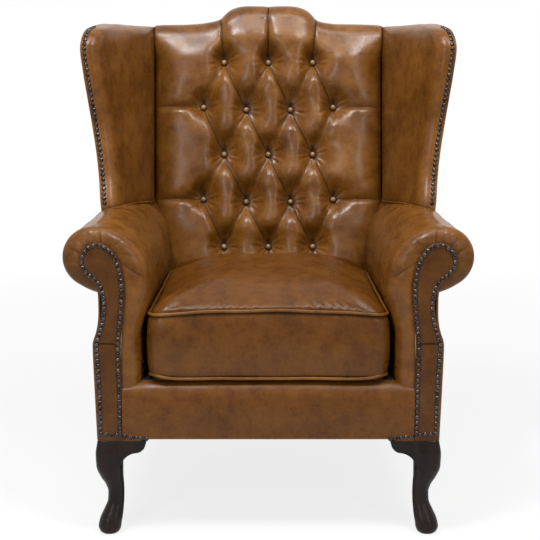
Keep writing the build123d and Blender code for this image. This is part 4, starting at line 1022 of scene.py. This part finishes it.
def make_cushion():
    points, faces = cushion_shell()
    cushion = new_mesh("seat_cushion_cover", points * 0.001, faces)
    bpy.context.view_layer.objects.active = cushion
    cushion.select_set(True)
    apply_modifier(cushion, "REMESH", mode="VOXEL", voxel_size=0.0055)
    rest = vertices_of(cushion)
    inflate(cushion, rest)
    move = vertices_of(cushion) - rest
    far = np.linalg.norm(move, axis=1)[:, None]
    shape = rest + move * np.minimum(1, 24.0 / np.maximum(far, 1e-9))
    x, y, z = shape.T  # views, so a change to them moves the points
    # what the deck, the arms and the back allow
    limit = 248.5 + 6 * (smoothstep(338, 350, z) - smoothstep(440, 465, z))
    limit -= 13 * (y - CUSHION_Y[0]) / (CUSHION_Y[1] - CUSHION_Y[0])
    x[:] = np.sign(x) * np.minimum(np.abs(x), limit)
    y[:] = np.clip(y, CUSHION_Y[0] - 7, CUSHION_Y[1] + 3)
    z[:] = np.clip(z, CUSHION_Z[0], 536)
    # stitched seams draw the leather in, with small puckers across them
    for seam, depth in ((CUSHION_Z[1], 4.0), (CUSHION_Z[0] + 4, 3.0)):
        near = near_rim(shape, seam)
        turn = np.arctan2(y - CUSHION_MIDDLE, x)
        pucker = 2.1 * np.sin(turn * 96 + 2 * np.sin(turn * 13)) * (0.6 + 0.4 * np.sin(turn * 9 + seam))
        shape += unit(xyz(-x, CUSHION_MIDDLE - y, 0)) * (depth * bell(near, 7))[:, None]
        z += pucker * bell(near - 17, 12) * (z > 400)
    z += smoothstep(455, 485, z) * (1.3 * ripple(x, y, 61, 150) + 0.4 * ripple(x, y, 62, 45))
    front = (y < CUSHION_Y[0] + 12) & (z < 465)
    y -= front * ripple(x, z, 63, 110) * smoothstep(0, 25, near_rim(shape, CUSHION_Z[1]))
    z += front_bow(shape) * smoothstep(350, 470, z)
    z[:] = np.maximum(z, CUSHION_Z[0])
    cushion.data.vertices.foreach_set("co", (shape * 0.001).astype(np.float32).ravel())
    cushion.data.update()
    apply_modifier(cushion, "SUBSURF", levels=1, render_levels=1)
    cushion.select_set(False)
    points = vertices_of(cushion)
    points[:, 2] -= front_bow(points) * (points[:, 2] > 400)
    seams = np.minimum(near_rim(points, CUSHION_Z[1]), near_rim(points, CUSHION_Z[0] + 4))
    # painted shade along the seams
    crease = 0.7 * bell(seams, 6.0)
    finish_piece(cushion, ["cushion_cover"], PANEL, crease, 0.85, "seat_cushion")
    rim = rim_plan(420, 1.2)
    across, along = rim.T
    corner = bell(np.abs(across) - 238, 30) * bell(along + 388, 40)
    top, bottom = (0.9 * ripple(across, along, seed, 140) for seed in (71, 72))
    for place, z in (
        ("top", CUSHION_Z[1] + 0.5 + top + front_bow(rim)),
        ("bottom", CUSHION_Z[0] + 4.2 + np.maximum(bottom, -0.1) + 6.5 * corner),
    ):
        points, faces = tube(xyz(across, along, z), 3.3)
        add_piece(
            f"cushion_welt_{place}", points, [f"cushion_piping_{place}"], faces,
            material=FINISHES["piping_leather"], body="seat_cushion",
        )


# ---- legs

def rounded_square(half, corner):
    """Ring of a rounded square about the origin."""
    inner = half - corner
    turns = ((inner, inner, 0), (-inner, inner, 90), (-inner, -inner, 180), (inner, -inner, 270))
    return np.vstack([arc(x, y, corner, start, start + 90, 13)[:-1] for x, y, start in turns])


def make_legs():
    height = np.r_[np.linspace(0, 0.03, 6), np.linspace(0.04, 0.96, 60), 0.985, 1.0]
    rings = []
    sections = smooth_keys(FRONT_LEG[:, 0], FRONT_LEG[:, 1:], height) * (LEG_HALF, LEG_HALF, 1)
    for share, (inset, half, roundness) in zip(height, sections):
        x, y = rounded_square(half, half * min(roundness, 0.96)).T
        rings.append(xyz(354 - inset + x, FRONT_Y + inset + y, RAIL_Z * share))
    points, faces = stacked(rings)
    add_pair("cabriole_leg", points, ["front_leg"], faces, material=MAHOGANY)
    rings = []
    for share in np.linspace(0, 1, 40):
        sweep = (1 - share) ** 1.7
        x, y = (rounded_square(0.5, 0.13) * (34 + 26 * share, 34 + 16.9 * share)).T
        rings.append(xyz(295.9 + 6 * sweep + x, 225.5 + 78 * sweep + y, RAIL_Z * share))
    points, faces = stacked(rings)
    add_pair("raked_leg", points, ["rear_leg"], faces, material=MAHOGANY)


# ---- CAD nodes that stay

def finish_nodes():
    slots = {part["node"]: part["material_slot"] for part in frame["record"]["subparts"]}
    for name, obj in frame["nodes"].items():
        for held in obj.material_slots:
            held.link = "OBJECT"
            held.material = FINISHES[slots[name]]


# ---- floor, light and camera

def make_stage():
    s = 30.0
    floor = new_mesh("floor", [(-s, -s, 0), (s, -s, 0), (s, s, 0), (-s, s, 0)], [(0, 1, 2, 3)])
    pale = Look("floor")
    shader = pale.tree.nodes["Principled BSDF"]
    pale.feed(shader, {"Base Color": (0.86, 0.86, 0.86, 1), "Roughness": 0.9})
    # the camera sees it fade to white with distance, and it keeps the chair's shadow
    distance = pale.add("VectorMath", {0: pale.place}, "Value", operation="LENGTH")
    limits = {"Value": distance, "From Min": 0.9, "From Max": 3.0, "To Min": 0.80, "To Max": 1.0}
    seen = pale.add("LightPath", output="Is Camera Ray")
    share = pale.maths("MULTIPLY", seen, pale.add("MapRange", limits))
    white = pale.add("Emission", {"Strength": 1.0})
    mixed = pale.add("MixShader", {0: share, 1: shader.outputs[0], 2: white})
    pale.feed(pale.tree.nodes["Material Output"], {"Surface": mixed})
    floor.data.materials.append(pale.owner)

    # the camera and reflections see a white room, and diffuse light gets little of it
    scene.world = bpy.data.worlds.new("studio")
    sky = Graph(scene.world)
    camera, glossy, clear = (
        sky.add("LightPath", output=f"Is {kind} Ray") for kind in ("Camera", "Glossy", "Transmission")
    )
    seen = sky.maths("MAXIMUM", sky.maths("MAXIMUM", camera, glossy), clear)
    strength = sky.maths("ADD", sky.maths("MULTIPLY", seen, 0.72), 0.28)
    sky.feed(sky.tree.nodes["Background"], {"Color": (1, 1, 1, 1), "Strength": strength})

    for name, place, aim, size, size_y, energy in (
        ("key_light", (-0.8, -1.3, 3.1), 0.6, 0.36, 0.9, 58),
        ("fill_light", (0.9, -1.4, 3.0), 0.6, 0.36, 0.9, 40),
        ("top_light", (0, -0.5, 3.2), 0.6, 1.6, 0.6, 22),
        ("left_strip", (-1.35, -2.5, 1.35), 0.7, 0.20, 1.5, 13),
        ("right_strip", (1.45, -2.4, 1.4), 0.7, 0.20, 1.4, 9),
    ):
        data = bpy.data.lights.new(name, "AREA")
        configure(data, shape="RECTANGLE", size=size, size_y=size_y, energy=energy)
        turn = (Vector((0, 0, aim)) - Vector(place)).to_track_quat("-Z", "Y")
        new_object(name, data, location=place, rotation_mode="QUATERNION", rotation_quaternion=turn)

    lens = configure(bpy.data.cameras.new("camera"), sensor_width=36, lens=87.33, shift_x=0.0031)
    tilt = math.radians(80)
    scene.camera = new_object("camera", lens, location=(0, -3.0, 1.021), rotation_euler=(tilt, 0, 0))
    scene.view_settings.view_transform = "Standard"


make_stage()
make_back()
make_wings()
make_arms()
make_outside_back()
make_seat_front()
make_cushion()
make_legs()
finish_nodes()
